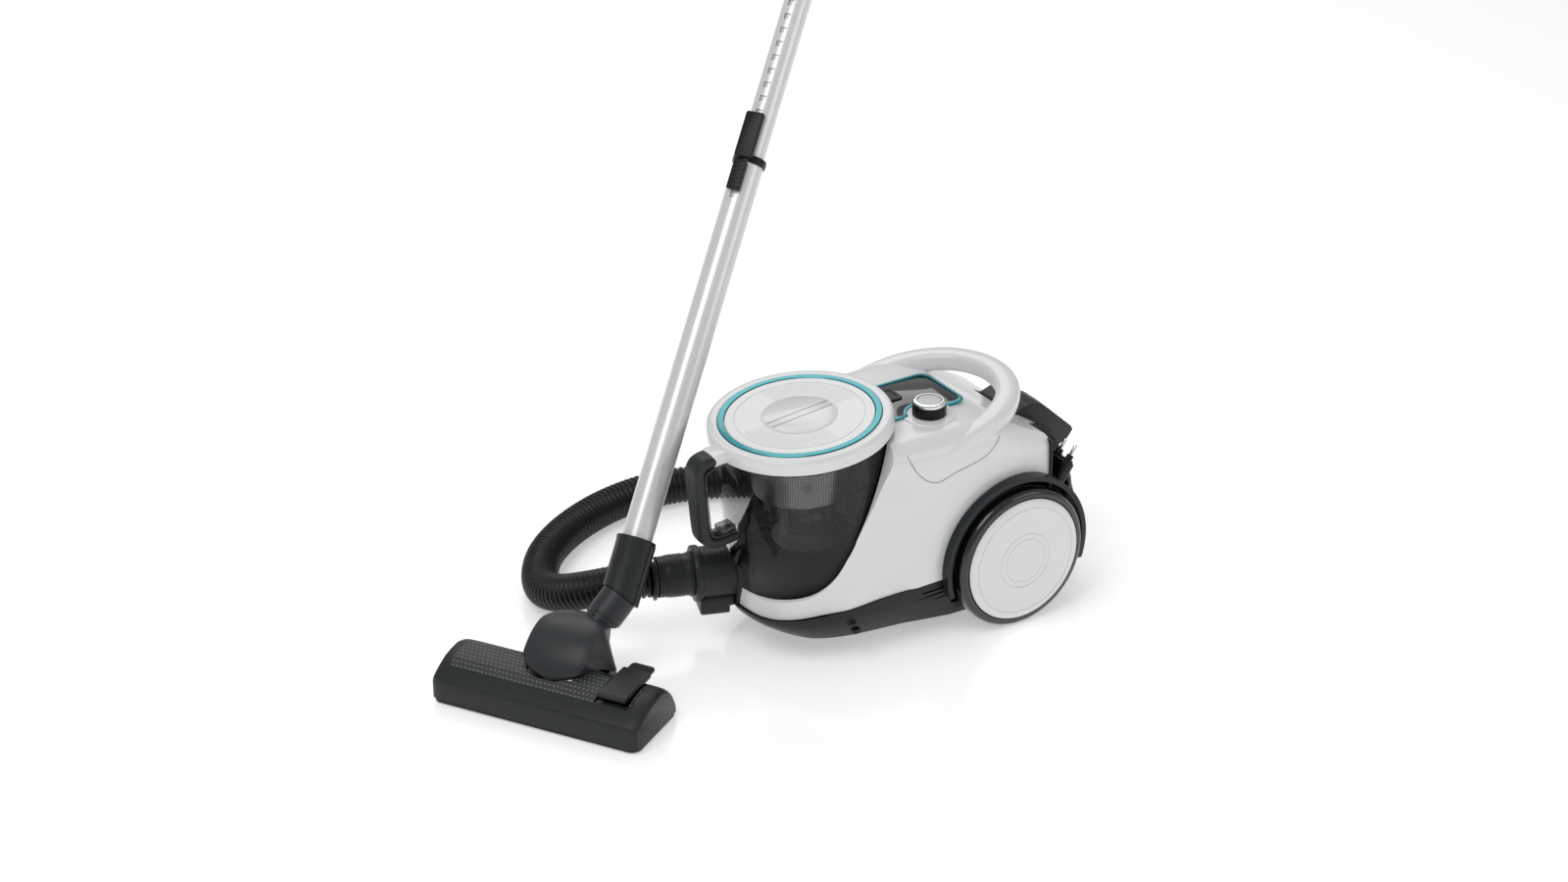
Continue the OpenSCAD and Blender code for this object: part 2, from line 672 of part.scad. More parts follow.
module cyclone_cone() color([0.45, 0.46, 0.47]) at_bin() difference() {
    union() {
        translate([0, 0, -44]) cylinder(r = 60.8, h = 30, $fn = 128);
        translate([0, 0, -150]) cylinder(r1 = 30, r2 = 56, h = 106, $fn = 128);
        translate([0, 0, -154]) cylinder(r = 44, h = 4, $fn = 128);
    }
    translate([0, 0, -148]) cylinder(r1 = 27, r2 = 53, h = 106, $fn = 128);
    translate([0, 0, -43]) cylinder(r = 52, h = 40, $fn = 128);
}

module cyclone_mesh() color("gray") at_bin() translate([0, 0, -86])
    ring(60.8, 58.8, 42, 128);

// ---------------------------------------------------------------- floor head

module head_plan2(t = 0) translate([t, t - head_l / 2])
    pad2(head_d - 2 * t, head_l - 2 * t, 12 - t);

function head_side(t) = [[t, 6], [t, 31 - t], [8, 36 - t], [31, 46 - t],
    [60, 49 - t], [80, 40 - t], [90, 27 - t], [head_d - t, 12], [head_d - t, 6]];

module pedal_pocket(c) translate([20 - c, -106 - c, 41 - c])
    cube([86 + 2 * c, 40 + 2 * c, 30]);

module head_body() color([0.2, 0.21, 0.22]) at_head() difference() {
    union() {
        intersection() {
            translate([0, 0, 6]) linear_extrude(60) head_plan2();
            side_slab(head_side(0), -head_l / 2, head_l / 2);
        }
        // ears that carry the neck's trunnions
        for (s = [1, -1]) translate([neck_pin[0], 0, neck_pin[1]])
            bar_y(12, s > 0 ? hood_hw + 1.5 : -hood_hw - 12,
                s > 0 ? hood_hw + 12 : -hood_hw - 1.5, 64);
    }
    intersection() {
        linear_extrude(60) head_plan2(3);
        side_slab([for (p = head_side(3)) [p[0], p[1] < 8 ? 5 : p[1]]], -head_l / 2, head_l / 2);
    }
    translate([27, -hood_hw - 1.5, 5]) cube([90, 2 * hood_hw + 3, 80]);
    translate([neck_pin[0], 0, neck_pin[1]])
        bar_y(neck_pin_r + fit, -hood_hw - 8, hood_hw + 8, 48);
    pedal_pocket(0);
    // sunk field of the textured panel
    panel_slab(0);
}

module panel_slab(lift) intersection() {
    translate([18, -108, 0]) cube([46, 223, 90]);
    side_slab([[18, 38.6], [31, 44.4 + lift], [60, 47.4 + lift], [64, 45.2 + lift],
        [64, 90], [18, 90]], -head_l / 2, head_l / 2);
}

module top_panel() color([0.25, 0.27, 0.28]) at_head() difference() {
    intersection() {
        translate([18.2, -107.8, 0]) cube([45.6, 222.6, 90]);
        side_slab([[18, 38.8], [31, 44.5], [60, 47.5], [64, 45.3], [64, 46.6],
            [60, 48.8], [31, 45.9], [18, 40.2]], -head_l / 2, head_l / 2);
    }
    translate([26, -hood_hw - 2, 5]) cube([90, 2 * hood_hw + 4, 80]);
    pedal_pocket(0.2);
}

module sole_plate() color([0.12, 0.12, 0.13]) at_head() difference() {
    union() {
        translate([0, 0, 2.5]) linear_extrude(3.5) head_plan2(0.5);
        for (y = [-112, 112], x = [22, 66]) translate([x - 6, y - 5, 0]) cube([12, 10, 2.6]);
    }
    translate([28, -104, 0]) cube([16, 208, 10]);
    for (x = [12, 60]) translate([x - 2.6, -104, 0]) cube([5.2, 208, 10]);
    for (y = [-1, 1]) translate([roller_x, y * 60, 8]) bar_y(9, -7, 7, 64);
}

module bristle_strips() color("black") at_head() for (x = [12, 60])
    translate([x - 2, -103, 3]) cube([4, 206, 9]);

module head_pedal() color([0.16, 0.17, 0.18]) at_head() difference() {
    translate([22, -104, 44]) {
        translate([0, 0, 2]) linear_extrude(6) pad2(78, 36, 5);
        for (i = [0 : 4]) translate([56 + i * 4, 4, 7.9]) cube([2, 28, 1.2]);
    }
    translate([60, 0, 46]) bar_y(1.5, -120, 0, 24);
}

module head_rollers() color([0.1, 0.1, 0.1]) at_head() translate([roller_x, 0, 8]) {
    for (y = [-1, 1]) translate([0, y * 60, 0]) bar_y(8, -6, 6, 48);
    bar_y(1.4, -66, 66, 24);
}

module at_neck() at_head() translate([neck_pin[0], 0, neck_pin[1]]) children();

// Lean and turn that bring +Z onto the line from the neck's root to the sleeve
neck_v = sleeve_at - neck_root;
neck_l = norm(neck_v);
neck_tip = acos(neck_v[2] / neck_l);
neck_yaw = atan2(neck_v[1], neck_v[0]);

module along_neck() at_head() translate(neck_root) rotate([0, neck_tip, neck_yaw])
    children();

module neck_hood() color([0.22, 0.23, 0.24]) {
    difference() {
        union() {
            at_neck() difference() {
                bar_y(hood_r, -hood_hw, hood_hw, 128);
                bar_y(hood_r - 4, -hood_hw + 3, hood_hw - 3, 128);
                // below the front tip and behind the back edge
                side_slab([[0, 0], [-190, 65.4], [-190, -190], [190, -190], [190, 190],
                    [120, 133]], -100, 100);
            }
            at_neck() bar_y(neck_pin_r, -hood_hw - 7, hood_hw + 7, 48);
            for (s = [1, -1]) at_neck() bar_y(12, s > 0 ? hood_hw - 3 : -hood_hw,
                s > 0 ? hood_hw : 3 - hood_hw, 64);
            along_neck() translate([0, 0, -4])
                cylinder(r = 19, h = neck_l + 4, $fn = 64);
            along_neck() for (i = [0 : 4]) translate([0, 0, 2 + i * 4.5])
                cylinder(r = 20, h = 2.2, $fn = 64);
        }
        along_neck() translate([0, 0, neck_l]) cylinder(r = 60, h = 100, $fn = 48);
        along_neck() translate([0, 0, -8]) cylinder(r = 14.6, h = 120, $fn = 64);
    }
}

module wand_sleeve() color([0.13, 0.14, 0.15]) difference() {
    union() {
        at_wand() translate([0, 0, -30]) cylinder(r = 21.5, h = sleeve_l + 30, $fn = 96);
        at_wand() translate([0, 0, sleeve_l - 4]) cylinder(r = 22.3, h = 4, $fn = 96);
    }
    along_neck() translate([0, 0, neck_l + 0.4 - 100]) cylinder(r = 60, h = 100, $fn = 48);
    at_wand() translate([0, 0, 14]) cylinder(r = tube_d / 2 + fit, h = 200, $fn = 96);
    along_neck() translate([0, 0, neck_l - 1]) cylinder(r = 13, h = 24, $fn = 64);
}

// ---------------------------------------------------------------- wand

tube_low = 14.2;                      // foot of the lower tube in the sleeve
collar_z = tube_low + lower_l;        // upper end of the lower tube
upper_low = collar_z + upper_out - upper_l;

module lower_tube() color("gainsboro") at_wand() translate([0, 0, tube_low])
    difference() {
        cylinder(r = tube_d / 2, h = lower_l, $fn = 96);
        translate([0, 0, -1]) cylinder(r = tube_d / 2 - tube_wall, h = lower_l + 2, $fn = 96);
        translate([-tube_d / 2 - 5, -4, lower_l - 50]) cube([8, 8, 30]);
    }

module tube_collar() color("black") at_wand() difference() {
    union() {
        translate([0, 0, collar_z - 6]) cylinder(r = tube_d / 2 + 1.6, h = 9, $fn = 96);
        translate([-tube_d / 2 - 4.4, -11, collar_z - 52]) cube([7, 22, 52]);
    }
    translate([0, 0, collar_z - 60]) cylinder(r = tube_d / 2 + fit, h = 60.1, $fn = 96);
    translate([0, 0, collar_z - 5]) cylinder(r = inner_tube_d / 2 + 0.3, h = 12, $fn = 96);
    translate([-tube_d / 2 - 10, -8.4, collar_z - 48]) cube([12, 16.8, 42]);
}

module tube_latch() color([0.08, 0.08, 0.09]) at_wand()
    translate([-tube_d / 2 - 6.4, -8, collar_z - 42]) difference() {
        union() {
            cube([5.6, 16, 34]);
            for (i = [0 : 4]) translate([-0.8, 1, 3 + i * 5]) cube([2, 14, 2.2]);
        }
        translate([6.4 + tube_d / 2, 8, -1]) cylinder(r = tube_d / 2 + 0.35, h = 60, $fn = 96);
    }

module upper_tube() color("gainsboro") at_wand() translate([0, 0, upper_low])
    difference() {
        cylinder(r = inner_tube_d / 2, h = upper_l, $fn = 96);
        translate([0, 0, -1]) cylinder(r = inner_tube_d / 2 - tube_wall, h = upper_l + 2, $fn = 96);
        for (i = [0 : 9]) translate([-inner_tube_d / 2 - 4, -4, upper_l - 60 - i * 16.8])
            cube([6.2, 8, 7]);
    }

module tube_socket() color("black") at_wand()
    translate([0, 0, collar_z + upper_out - 20]) difference() {
        union() {
            cylinder(r = 18.6, h = 22, $fn = 96);
            translate([0, 0, 22]) cylinder(r = 21.5, h = 40, $fn = 96);
        }
        translate([0, 0, -1]) cylinder(r = inner_tube_d / 2 + fit, h = 21, $fn = 96);
        translate([0, 0, 10]) cylinder(r = 14.5, h = 20, $fn = 96);
        translate([0, 0, 22]) cylinder(r = tube_d / 2, h = 42, $fn = 96);
    }

chassis();
upper_housing();
arch_trims();
carry_handle();
panel_frame();
panel_glass();
knob_skirt();
knob_cap();
power_button();
release_button();
rear_cover();
rewind_pedal();
plug_recess();
plug_body();
plug_pins();
reel_drum();
cord_pack();
motor_housing();
rotor_shaft();
impeller();
exhaust_filter();
inlet_socket();
hose_cuff();
hose();
grip_cuff();
grip_tube();
suction_slider();
tyre_left();
tyre_right();
disc_left();
disc_right();
wheel_axles();
caster_fork();
caster_wheel();
caster_axle();
park_rail();
housing_screws();
bin_shell();
bin_floor();
bin_seal();
bin_collar();
bin_handle();
handle_liner();
lid_cover();
lid_ring();
cyclone_cone();
cyclone_mesh();
head_body();
sole_plate();
top_panel();
bristle_strips();
head_pedal();
head_rollers();
neck_hood();
wand_sleeve();
lower_tube();
tube_collar();
tube_latch();
upper_tube();
tube_socket();
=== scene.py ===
"""Canister vacuum cleaner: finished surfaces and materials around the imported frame.

Lengths inside the shape functions are millimetres; each frame matrix brings them to
metres and to their place.
"""

import math

import bmesh
import bpy
from mathutils import Matrix, Vector, noise


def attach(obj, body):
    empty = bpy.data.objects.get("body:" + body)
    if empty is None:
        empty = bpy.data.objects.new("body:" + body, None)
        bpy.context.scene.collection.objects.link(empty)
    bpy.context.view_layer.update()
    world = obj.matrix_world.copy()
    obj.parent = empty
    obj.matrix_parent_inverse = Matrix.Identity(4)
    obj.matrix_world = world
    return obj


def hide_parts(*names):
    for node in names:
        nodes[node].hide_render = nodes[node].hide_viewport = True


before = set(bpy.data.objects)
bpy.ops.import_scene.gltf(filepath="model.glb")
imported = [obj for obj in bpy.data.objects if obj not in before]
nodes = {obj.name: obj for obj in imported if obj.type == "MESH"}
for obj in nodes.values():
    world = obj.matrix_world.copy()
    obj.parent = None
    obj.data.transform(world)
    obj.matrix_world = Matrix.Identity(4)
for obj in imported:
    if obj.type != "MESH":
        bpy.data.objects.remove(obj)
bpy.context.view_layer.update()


# ------------------------------------------------------------------ frames

def shift(x, y, z):
    return Matrix.Translation((x, y, z))


def turn(degrees, axis):
    return Matrix.Rotation(math.radians(degrees), 4, axis)


BIN_LEAN, WAND_LEAN, HEAD_TURN, INLET_TURN = 5.33, 40, 32, 20
AXLE_Z = 85
NECK_ROOT, SLEEVE_AT = Vector((113, -12, 62)), Vector((151, -29, 96))
NECK_LINE = SLEEVE_AT - NECK_ROOT
NECK_TIP = math.degrees(math.acos(NECK_LINE.z / NECK_LINE.length))
NECK_YAW = math.degrees(math.atan2(NECK_LINE.y, NECK_LINE.x))

HOME = Matrix.Scale(0.001, 4) @ shift(249.5, -87.8, 0)
BIN = HOME @ shift(-214.5, 0, 268) @ turn(-BIN_LEAN, "Y")
HEAD = HOME @ shift(-582.5, -36.7, 0) @ turn(HEAD_TURN, "Z")
WAND = HEAD @ Matrix.Translation(SLEEVE_AT) @ turn(WAND_LEAN, "Y")
NECK = HEAD @ Matrix.Translation(NECK_ROOT) @ turn(NECK_YAW, "Z") @ turn(NECK_TIP, "Y")
INLET = HOME @ shift(-332, 43, 80) @ turn(-INLET_TURN, "Z") @ turn(-90, "Y")
GRIP = HOME @ shift(90, 410, 22.5)


# ------------------------------------------------------------------ camera

camera = bpy.data.objects.new("camera", bpy.data.cameras.new("camera"))
bpy.context.scene.collection.objects.link(camera)
camera.data.lens = 72
camera.data.sensor_width = 36
camera.data.clip_end = 50
camera.location = (HOME @ Vector((-1902.7, -2620.7, 1840.7)))
camera.rotation_euler = (math.radians(62.75), 0, math.radians(-32.47))
bpy.context.scene.camera = camera


# ------------------------------------------------------------------ shader maths

class Val:
    """A shader socket that takes part in Python expressions."""

    def __init__(self, tree, socket):
        self.tree = tree
        self.socket = socket

    def math(self, operation, *others):
        made = self.tree.nodes.new("ShaderNodeMath")
        made.operation = operation
        for slot, value in zip(made.inputs, (self, *others)):
            put(self.tree, slot, value)
        return Val(self.tree, made.outputs[0])

    def __add__(self, other):
        return self.math("ADD", other)

    def __sub__(self, other):
        return self.math("SUBTRACT", other)

    def __mul__(self, other):
        return self.math("MULTIPLY", other)

    def __truediv__(self, other):
        return self.math("DIVIDE", other)

    def __rsub__(self, other):
        return (self * -1.0) + other

    __radd__ = __add__
    __rmul__ = __mul__


def put(tree, slot, value):
    if isinstance(value, Val):
        tree.links.new(value.socket, slot)
    else:
        slot.default_value = value


class Finish:
    """A material with one Principled shader and procedural inputs."""

    def __init__(self, name, **values):
        self.material = bpy.data.materials.new(name)
        self.material.use_nodes = True
        self.tree = self.material.node_tree
        self.shader = self.tree.nodes["Principled BSDF"]
        self.place = self.node("ShaderNodeTexCoord", out="Object")
        self.set(**values)

    def node(self, kind, settings=None, inputs=None, out=0):
        made = self.tree.nodes.new(kind)
        for key, value in (settings or {}).items():
            if key == "stops":
                for stop, (at, colour) in zip(self.stops(made, len(value)), value):
                    stop.position, stop.color = at, colour
            else:
                setattr(made, key, value)
        for key, value in (inputs or {}).items():
            put(self.tree, made.inputs[key], value)
        return Val(self.tree, made.outputs[out])

    def stops(self, ramp, count):
        elements = ramp.color_ramp.elements
        while len(elements) < count:
            elements.new(0.5)
        return elements

    def set(self, **values):
        for key, value in values.items():
            put(self.tree, self.shader.inputs[key.replace("_", " ")], value)

    def noise(self, scale, detail=2.0, rough=0.5):
        return self.node("ShaderNodeTexNoise", None,
                         {"Vector": self.place, "Scale": scale, "Detail": detail,
                          "Roughness": rough})

    def tint(self, factor, dark, light):
        return self.node("ShaderNodeMix", {"data_type": "RGBA"},
                         {0: factor, 6: dark, 7: light}, out=2)

    def bump(self, height, strength, distance):
        normal = self.node("ShaderNodeBump", None,
                           {"Height": height, "Strength": strength,
                            "Distance": distance})
        self.set(Normal=normal)

    def axes(self):
        split = self.tree.nodes.new("ShaderNodeSeparateXYZ")
        put(self.tree, split.inputs[0], self.place)
        return [Val(self.tree, o) for o in split.outputs]


def rgb(r, g, b):
    return (r, g, b, 1.0)


def moulded(name, colour, roughness, grain=2600, depth=0.00012, coat=0.0, spread=0.12):
    """Moulded plastic: a fine grain, and a slow drift of tone and sheen."""
    f = Finish(name, Coat_Roughness=0.08)
    drift = f.noise(9, 3)
    fine = f.noise(grain, 1)
    dark = rgb(*[c * (1 - spread) for c in colour])
    light = rgb(*[min(1, c * (1 + spread)) for c in colour])
    f.set(Base_Color=f.tint(drift, dark, light),
          Roughness=drift * 0.08 + fine * 0.05 + (roughness - 0.065),
          Coat_Weight=coat)
    if max(colour) < 0.05:
        f.set(Specular_IOR_Level=0.28)
    f.bump(fine, 0.35, depth)
    return f.material


def white_gloss():
    f = Finish("white_gloss", Coat_Roughness=0.05)
    drift = f.noise(14, 3)
    f.set(Base_Color=f.tint(drift, rgb(0.79, 0.795, 0.80), rgb(0.83, 0.835, 0.84)),
          Roughness=drift * 0.1 + 0.2, Coat_Weight=0.35)
    f.bump(f.noise(420, 1), 0.06, 0.0002)
    return f.material


def lid_white():
    """The lid's white disc: a fan of small dots between its groove and its cap."""
    f = Finish("lid_white", Coat_Roughness=0.06)
    turned = f.node("ShaderNodeMapping", {"vector_type": "TEXTURE"}, {
        "Vector": f.place, "Location": BIN.translation,
        "Rotation": (0, math.radians(-BIN_LEAN), 0)})
    split = f.tree.nodes.new("ShaderNodeSeparateXYZ")
    put(f.tree, split.inputs[0], turned)
    x, y = Val(f.tree, split.outputs[0]), Val(f.tree, split.outputs[1])
    radius = (x * x + y * y).math("SQRT")
    angle = y.math("ARCTAN2", x)
    row = (radius * 520.0).math("FRACT") - 0.5
    step = (angle * 28.6 + (radius * 520.0).math("FLOOR") * 0.5).math("FRACT") - 0.5
    dot = (row * row + step * step).math("LESS_THAN", 0.055)
    band = radius.math("GREATER_THAN", 0.045) * radius.math("LESS_THAN", 0.071)
    fade = (angle * 2.0).math("SINE").math("GREATER_THAN", -0.2)
    dots = dot * band * fade
    f.set(Base_Color=f.tint(dots, rgb(0.81, 0.815, 0.82), rgb(0.40, 0.42, 0.43)),
          Roughness=dots * 0.15 + 0.22, Coat_Weight=0.3)
    f.bump(dots, 0.4, 0.0003)
    return f.material


def teal_metal():
    f = Finish("teal_metal", Coat_Weight=0.6, Coat_Roughness=0.05)
    fleck = f.noise(900, 1)
    drift = f.noise(6, 2)
    f.set(Base_Color=f.tint(fleck, rgb(0.0, 0.20, 0.24), rgb(0.0, 0.36, 0.40)),
          Metallic=0.65, Roughness=drift * 0.1 + 0.22)
    f.bump(fleck, 0.1, 0.00005)
    return f.material


def gloss_black(name, colour, roughness):
    f = Finish(name, Coat_Weight=0.5, Coat_Roughness=0.04)
    drift = f.noise(18, 2)
    f.set(Base_Color=f.tint(drift, rgb(*colour), rgb(*[c * 1.6 for c in colour])),
          Roughness=drift * 0.08 + roughness)
    f.bump(f.noise(600, 1), 0.05, 0.0001)
    return f.material


def chrome():
    f = Finish("chrome", Metallic=1.0)
    drift = f.noise(60, 2)
    f.set(Base_Color=f.tint(drift, rgb(0.72, 0.73, 0.75), rgb(0.9, 0.91, 0.92)),
          Roughness=drift * 0.08 + 0.1)
    return f.material


def steel(name, low, high, roughness):
    f = Finish(name, Metallic=1.0)
    drift = f.noise(140, 4)
    f.set(Base_Color=f.tint(drift, rgb(*low), rgb(*high)), Roughness=drift * 0.2 + roughness)
    return f.material


def tube_white():
    """Pearl white coating on the steel tubes."""
    f = Finish("tube_white", Metallic=0.25, Coat_Roughness=0.12)
    drift = f.noise(20, 2)
    f.set(Base_Color=f.tint(drift, rgb(0.72, 0.72, 0.71), rgb(0.80, 0.80, 0.79)),
          Roughness=drift * 0.1 + 0.24, Coat_Weight=0.4)
    f.bump(f.noise(1800, 1), 0.1, 0.00005)
    return f.material


def smoke(name, colour, alpha, roughness=0.04):
    """Tinted clear plastic, seen through by its alpha."""
    f = Finish(name, IOR=1.5, Coat_Weight=0.5, Coat_Roughness=0.03)
    drift = f.noise(8, 2)
    f.set(Base_Color=f.tint(drift, rgb(*colour), rgb(*[c * 1.3 for c in colour])),
          Alpha=drift * 0.06 + alpha, Roughness=drift * 0.03 + roughness)
    return f.material


def perforated(name):
    """Metal mesh: round holes in rows, painted near black as painted shade for the dark seen through
    them, and rougher.
    """
    f = Finish(name, Metallic=0.9)
    x, y, z = f.axes()
    row = (z * 500.0).math("FRACT") - 0.5
    angle = (y + 0.0878).math("ARCTAN2", x - 0.035)
    step = (angle * 20.0).math("FRACT") - 0.5
    hole = (row * row + step * step).math("LESS_THAN", 0.09)
    # painted shade: the holes are near black where the dark inside would show through
    f.set(Base_Color=f.tint(hole, rgb(0.45, 0.46, 0.47), rgb(0.02, 0.02, 0.02)),
          Roughness=hole * 0.3 + 0.3)
    return f.material


def dimpled():
    """Rows of small dimples on the floor head's panel, each with a pale painted highlight."""
    f = Finish("dimpled_grey", Roughness=0.5)
    turned = f.node("ShaderNodeMapping", {"vector_type": "TEXTURE"}, {
        "Vector": f.place, "Location": HEAD.translation,
        "Rotation": (0, 0, math.radians(HEAD_TURN))})
    split = f.tree.nodes.new("ShaderNodeSeparateXYZ")
    put(f.tree, split.inputs[0], turned)
    x, y = Val(f.tree, split.outputs[0]), Val(f.tree, split.outputs[1])
    row = (x * 172.0).math("FRACT") - 0.5
    step = (y * 190.0 + (x * 172.0).math("FLOOR") * 0.5).math("FRACT") - 0.5
    dot = (row * row * 3.2 + step * step).math("LESS_THAN", 0.06)
    fine = f.noise(2400, 1)
    base = f.tint(fine, rgb(0.020, 0.023, 0.026), rgb(0.027, 0.031, 0.034))
    # painted highlight: the dimples are pale where they catch the light; the bump gives their form
    f.set(Base_Color=f.tint(dot, base, rgb(0.17, 0.18, 0.185)))
    f.bump(fine * 0.3 + dot, 0.5, 0.0003)
    return f.material


def bristle():
    f = Finish("bristle", Roughness=0.7, Sheen_Weight=0.3)
    streak = f.noise(1500, 1)
    f.set(Base_Color=f.tint(streak, rgb(0.01, 0.01, 0.01), rgb(0.08, 0.08, 0.08)))
    f.bump(streak, 1.0, 0.0008)
    return f.material


def filter_paper():
    f = Finish("filter_paper", Roughness=0.9)
    x, y, z = f.axes()
    pleat = (y * 250.0).math("FRACT")
    # painted shade and light: each pleat runs from dark on one face to light on the other; the same ramp
    # is the bump's height
    f.set(Base_Color=f.tint(pleat, rgb(0.55, 0.55, 0.53), rgb(0.85, 0.85, 0.83)))
    f.bump(pleat, 0.8, 0.002)
    return f.material


ANTHRACITE = moulded("anthracite", (0.020, 0.0235, 0.026), 0.38, 2600, 0.00014)
CHASSIS = moulded("chassis_black", (0.007, 0.008, 0.009), 0.34)
ARCH = moulded("arch_grey", (0.014, 0.018, 0.021), 0.3)
WHITE = white_gloss()
LID_WHITE = lid_white()
TEAL = teal_metal()
WINDOW = gloss_black("window_black", (0.006, 0.0065, 0.007), 0.08)
KNOB = moulded("knob_black", (0.005, 0.005, 0.006), 0.34)
CHROME = chrome()
BUTTON = moulded("button_silver", (0.55, 0.56, 0.57), 0.28, coat=0.3)
TYRE = gloss_black("tyre_black", (0.003, 0.003, 0.0035), 0.16)
SMOKE = smoke("smoke_clear", (0.015, 0.015, 0.016), 0.22)
LINER = smoke("liner_clear", (0.03, 0.03, 0.032), 0.6)
CYCLONE = moulded("cyclone_grey", (0.075, 0.077, 0.08), 0.35)
MESH = perforated("mesh_metal")
SEAL = moulded("seal_rubber", (0.012, 0.012, 0.012), 0.6)
HOSE = moulded("hose_black", (0.007, 0.0075, 0.008), 0.36, 1500, 0.0001)
TUBE = tube_white()
INNER = moulded("inner_grey", (0.25, 0.26, 0.27), 0.4)
STEEL = steel("turned_steel", (0.4, 0.4, 0.41), (0.6, 0.6, 0.61), 0.2)
FILTER = filter_paper()
BRISTLE = bristle()
PANEL_GREY = moulded("panel_grey", (0.028, 0.032, 0.036), 0.46, 2000, 0.0002)
CORD = moulded("cord_black", (0.012, 0.012, 0.012), 0.5)
GUIDE = smoke("guide_smoke", (0.012, 0.012, 0.013), 0.5)
DIMPLED = dimpled()
HOOD_GREY = moulded("hood_grey", (0.034, 0.038, 0.042), 0.36, 2600, 0.00014)
SEAM_GREY = moulded("seam_grey", (0.22, 0.225, 0.23), 0.5)

CAD_FINISH = {
    CHASSIS: ["chassis", "plug_recess", "caster_fork", "bin_floor", "sole_plate"],
    WHITE: ["upper_housing", "carry_handle", "disc_left", "disc_right", "bin_collar"],
    LID_WHITE: ["lid_cover"],
    ARCH: ["arch_trims"],
    TEAL: ["panel_frame", "lid_ring"],
    WINDOW: ["panel_glass", "release_button"],
    KNOB: ["knob_skirt", "plug_body", "tube_collar", "tube_latch"],
    CHROME: ["knob_cap", "plug_pins"],
    BUTTON: ["power_button"],
    ANTHRACITE: ["rear_cover", "rewind_pedal", "inlet_socket", "hose_cuff", "grip_cuff",
                 "grip_tube", "park_rail", "bin_handle", "head_body", "head_pedal",
                 "neck_hood", "wand_sleeve", "tube_socket"],
    INNER: ["reel_drum", "motor_housing", "suction_slider"],
    CORD: ["cord_pack"],
    STEEL: ["rotor_shaft", "impeller", "wheel_axles", "caster_axle", "housing_screws"],
    FILTER: ["exhaust_filter"],
    HOSE: ["hose"],
    TYRE: ["tyre_left", "tyre_right"],
    SEAL: ["caster_wheel", "bin_seal", "head_rollers"],
    SMOKE: ["bin_shell"],
    LINER: ["handle_liner"],
    CYCLONE: ["cyclone_cone"],
    MESH: ["cyclone_mesh"],
    PANEL_GREY: ["top_panel"],
    BRISTLE: ["bristle_strips"],
    TUBE: ["lower_tube", "upper_tube"],
}
for material, names in CAD_FINISH.items():
    for name in names:
        mesh = nodes[name].data
        mesh.materials.clear()
        mesh.materials.append(material)


# ------------------------------------------------------------------ shape helpers

def outward(bm):
    """Turns every face of a closed form outwards."""
    bmesh.ops.recalc_face_normals(bm, faces=bm.faces)
    if bm.calc_volume(signed=True) < 0:
        bmesh.ops.reverse_faces(bm, faces=bm.faces)
    bm.normal_update()
    return bm


def loft(loops, top=True):
    """A closed form: the first loop of points, extruded through the others.

    Without a top face, the last loop closes on itself where its points meet."""
    bm = bmesh.new()
    verts = [bm.verts.new(p) for p in loops[0]]
    edges = [bm.edges.new(pair) for pair in zip(verts, verts[1:] + verts[:1])]
    bm.faces.new(verts)
    for loop in loops[1:]:
        old = {v: i for i, v in enumerate(verts)}
        made = bmesh.ops.extrude_edge_only(bm, edges=edges)["geom"]
        fresh = [None] * len(verts)
        for v in made:
            if isinstance(v, bmesh.types.BMVert):
                partner = next(e.other_vert(v) for e in v.link_edges if e.other_vert(v) in old)
                fresh[old[partner]] = v
        edges = [e for e in made if isinstance(e, bmesh.types.BMEdge)
                 and e.verts[0] in fresh and e.verts[1] in fresh]
        verts = fresh
        for v, p in zip(verts, loop):
            v.co = p
    if top:
        bm.faces.new(verts)
    bmesh.ops.remove_doubles(bm, verts=bm.verts, dist=0.001)
    return outward(bm)


def spun(points, steps=96, closed=False):
    """A solid of revolution about Z from (radius, height) points."""
    bm = bmesh.new()
    verts = [bm.verts.new((r, 0, z)) for r, z in points]
    line = list(zip(verts, verts[1:]))
    if closed:
        line.append((verts[-1], verts[0]))
    edges = [bm.edges.new(pair) for pair in line]
    bmesh.ops.spin(bm, geom=verts + edges, cent=(0, 0, 0), axis=(0, 0, 1), dvec=(0, 0, 0),
                   angle=2 * math.pi, steps=steps, use_merge=True)
    bmesh.ops.remove_doubles(bm, verts=bm.verts, dist=0.001)
    return outward(bm)


def slab(outline, low, high, bevel=0.0, segments=3):
    """A flat outline in XY, extruded from low to high, with its edges rounded."""
    bm = bmesh.new()
    face = bm.faces.new([bm.verts.new((x, y, low)) for x, y in outline])
    top = bmesh.ops.extrude_face_region(bm, geom=[face])["geom"]
    bmesh.ops.translate(bm, vec=(0, 0, high - low),
                        verts=[v for v in top if isinstance(v, bmesh.types.BMVert)])
    if bevel:
        rims = [e for e in bm.edges if abs(e.verts[0].co.z - e.verts[1].co.z) < 1e-6]
        bmesh.ops.bevel(bm, geom=rims, offset=bevel, segments=segments, profile=0.5,
                        affect="EDGES", material=-1)
    return outward(bm)


def corner(cx, cy, r, start, stop, steps=6):
    return [(cx + r * math.cos(math.radians(start + (stop - start) * i / steps)),
             cy + r * math.sin(math.radians(start + (stop - start) * i / steps)))
            for i in range(steps + 1)]


def pad(x0, y0, x1, y1, r, steps=6):
    """A rounded rectangle as a list of points."""
    return (corner(x1 - r, y0 + r, r, -90, 0, steps) + corner(x1 - r, y1 - r, r, 0, 90, steps)
            + corner(x0 + r, y1 - r, r, 90, 180, steps) + corner(x0 + r, y0 + r, r, 180, 270, steps))


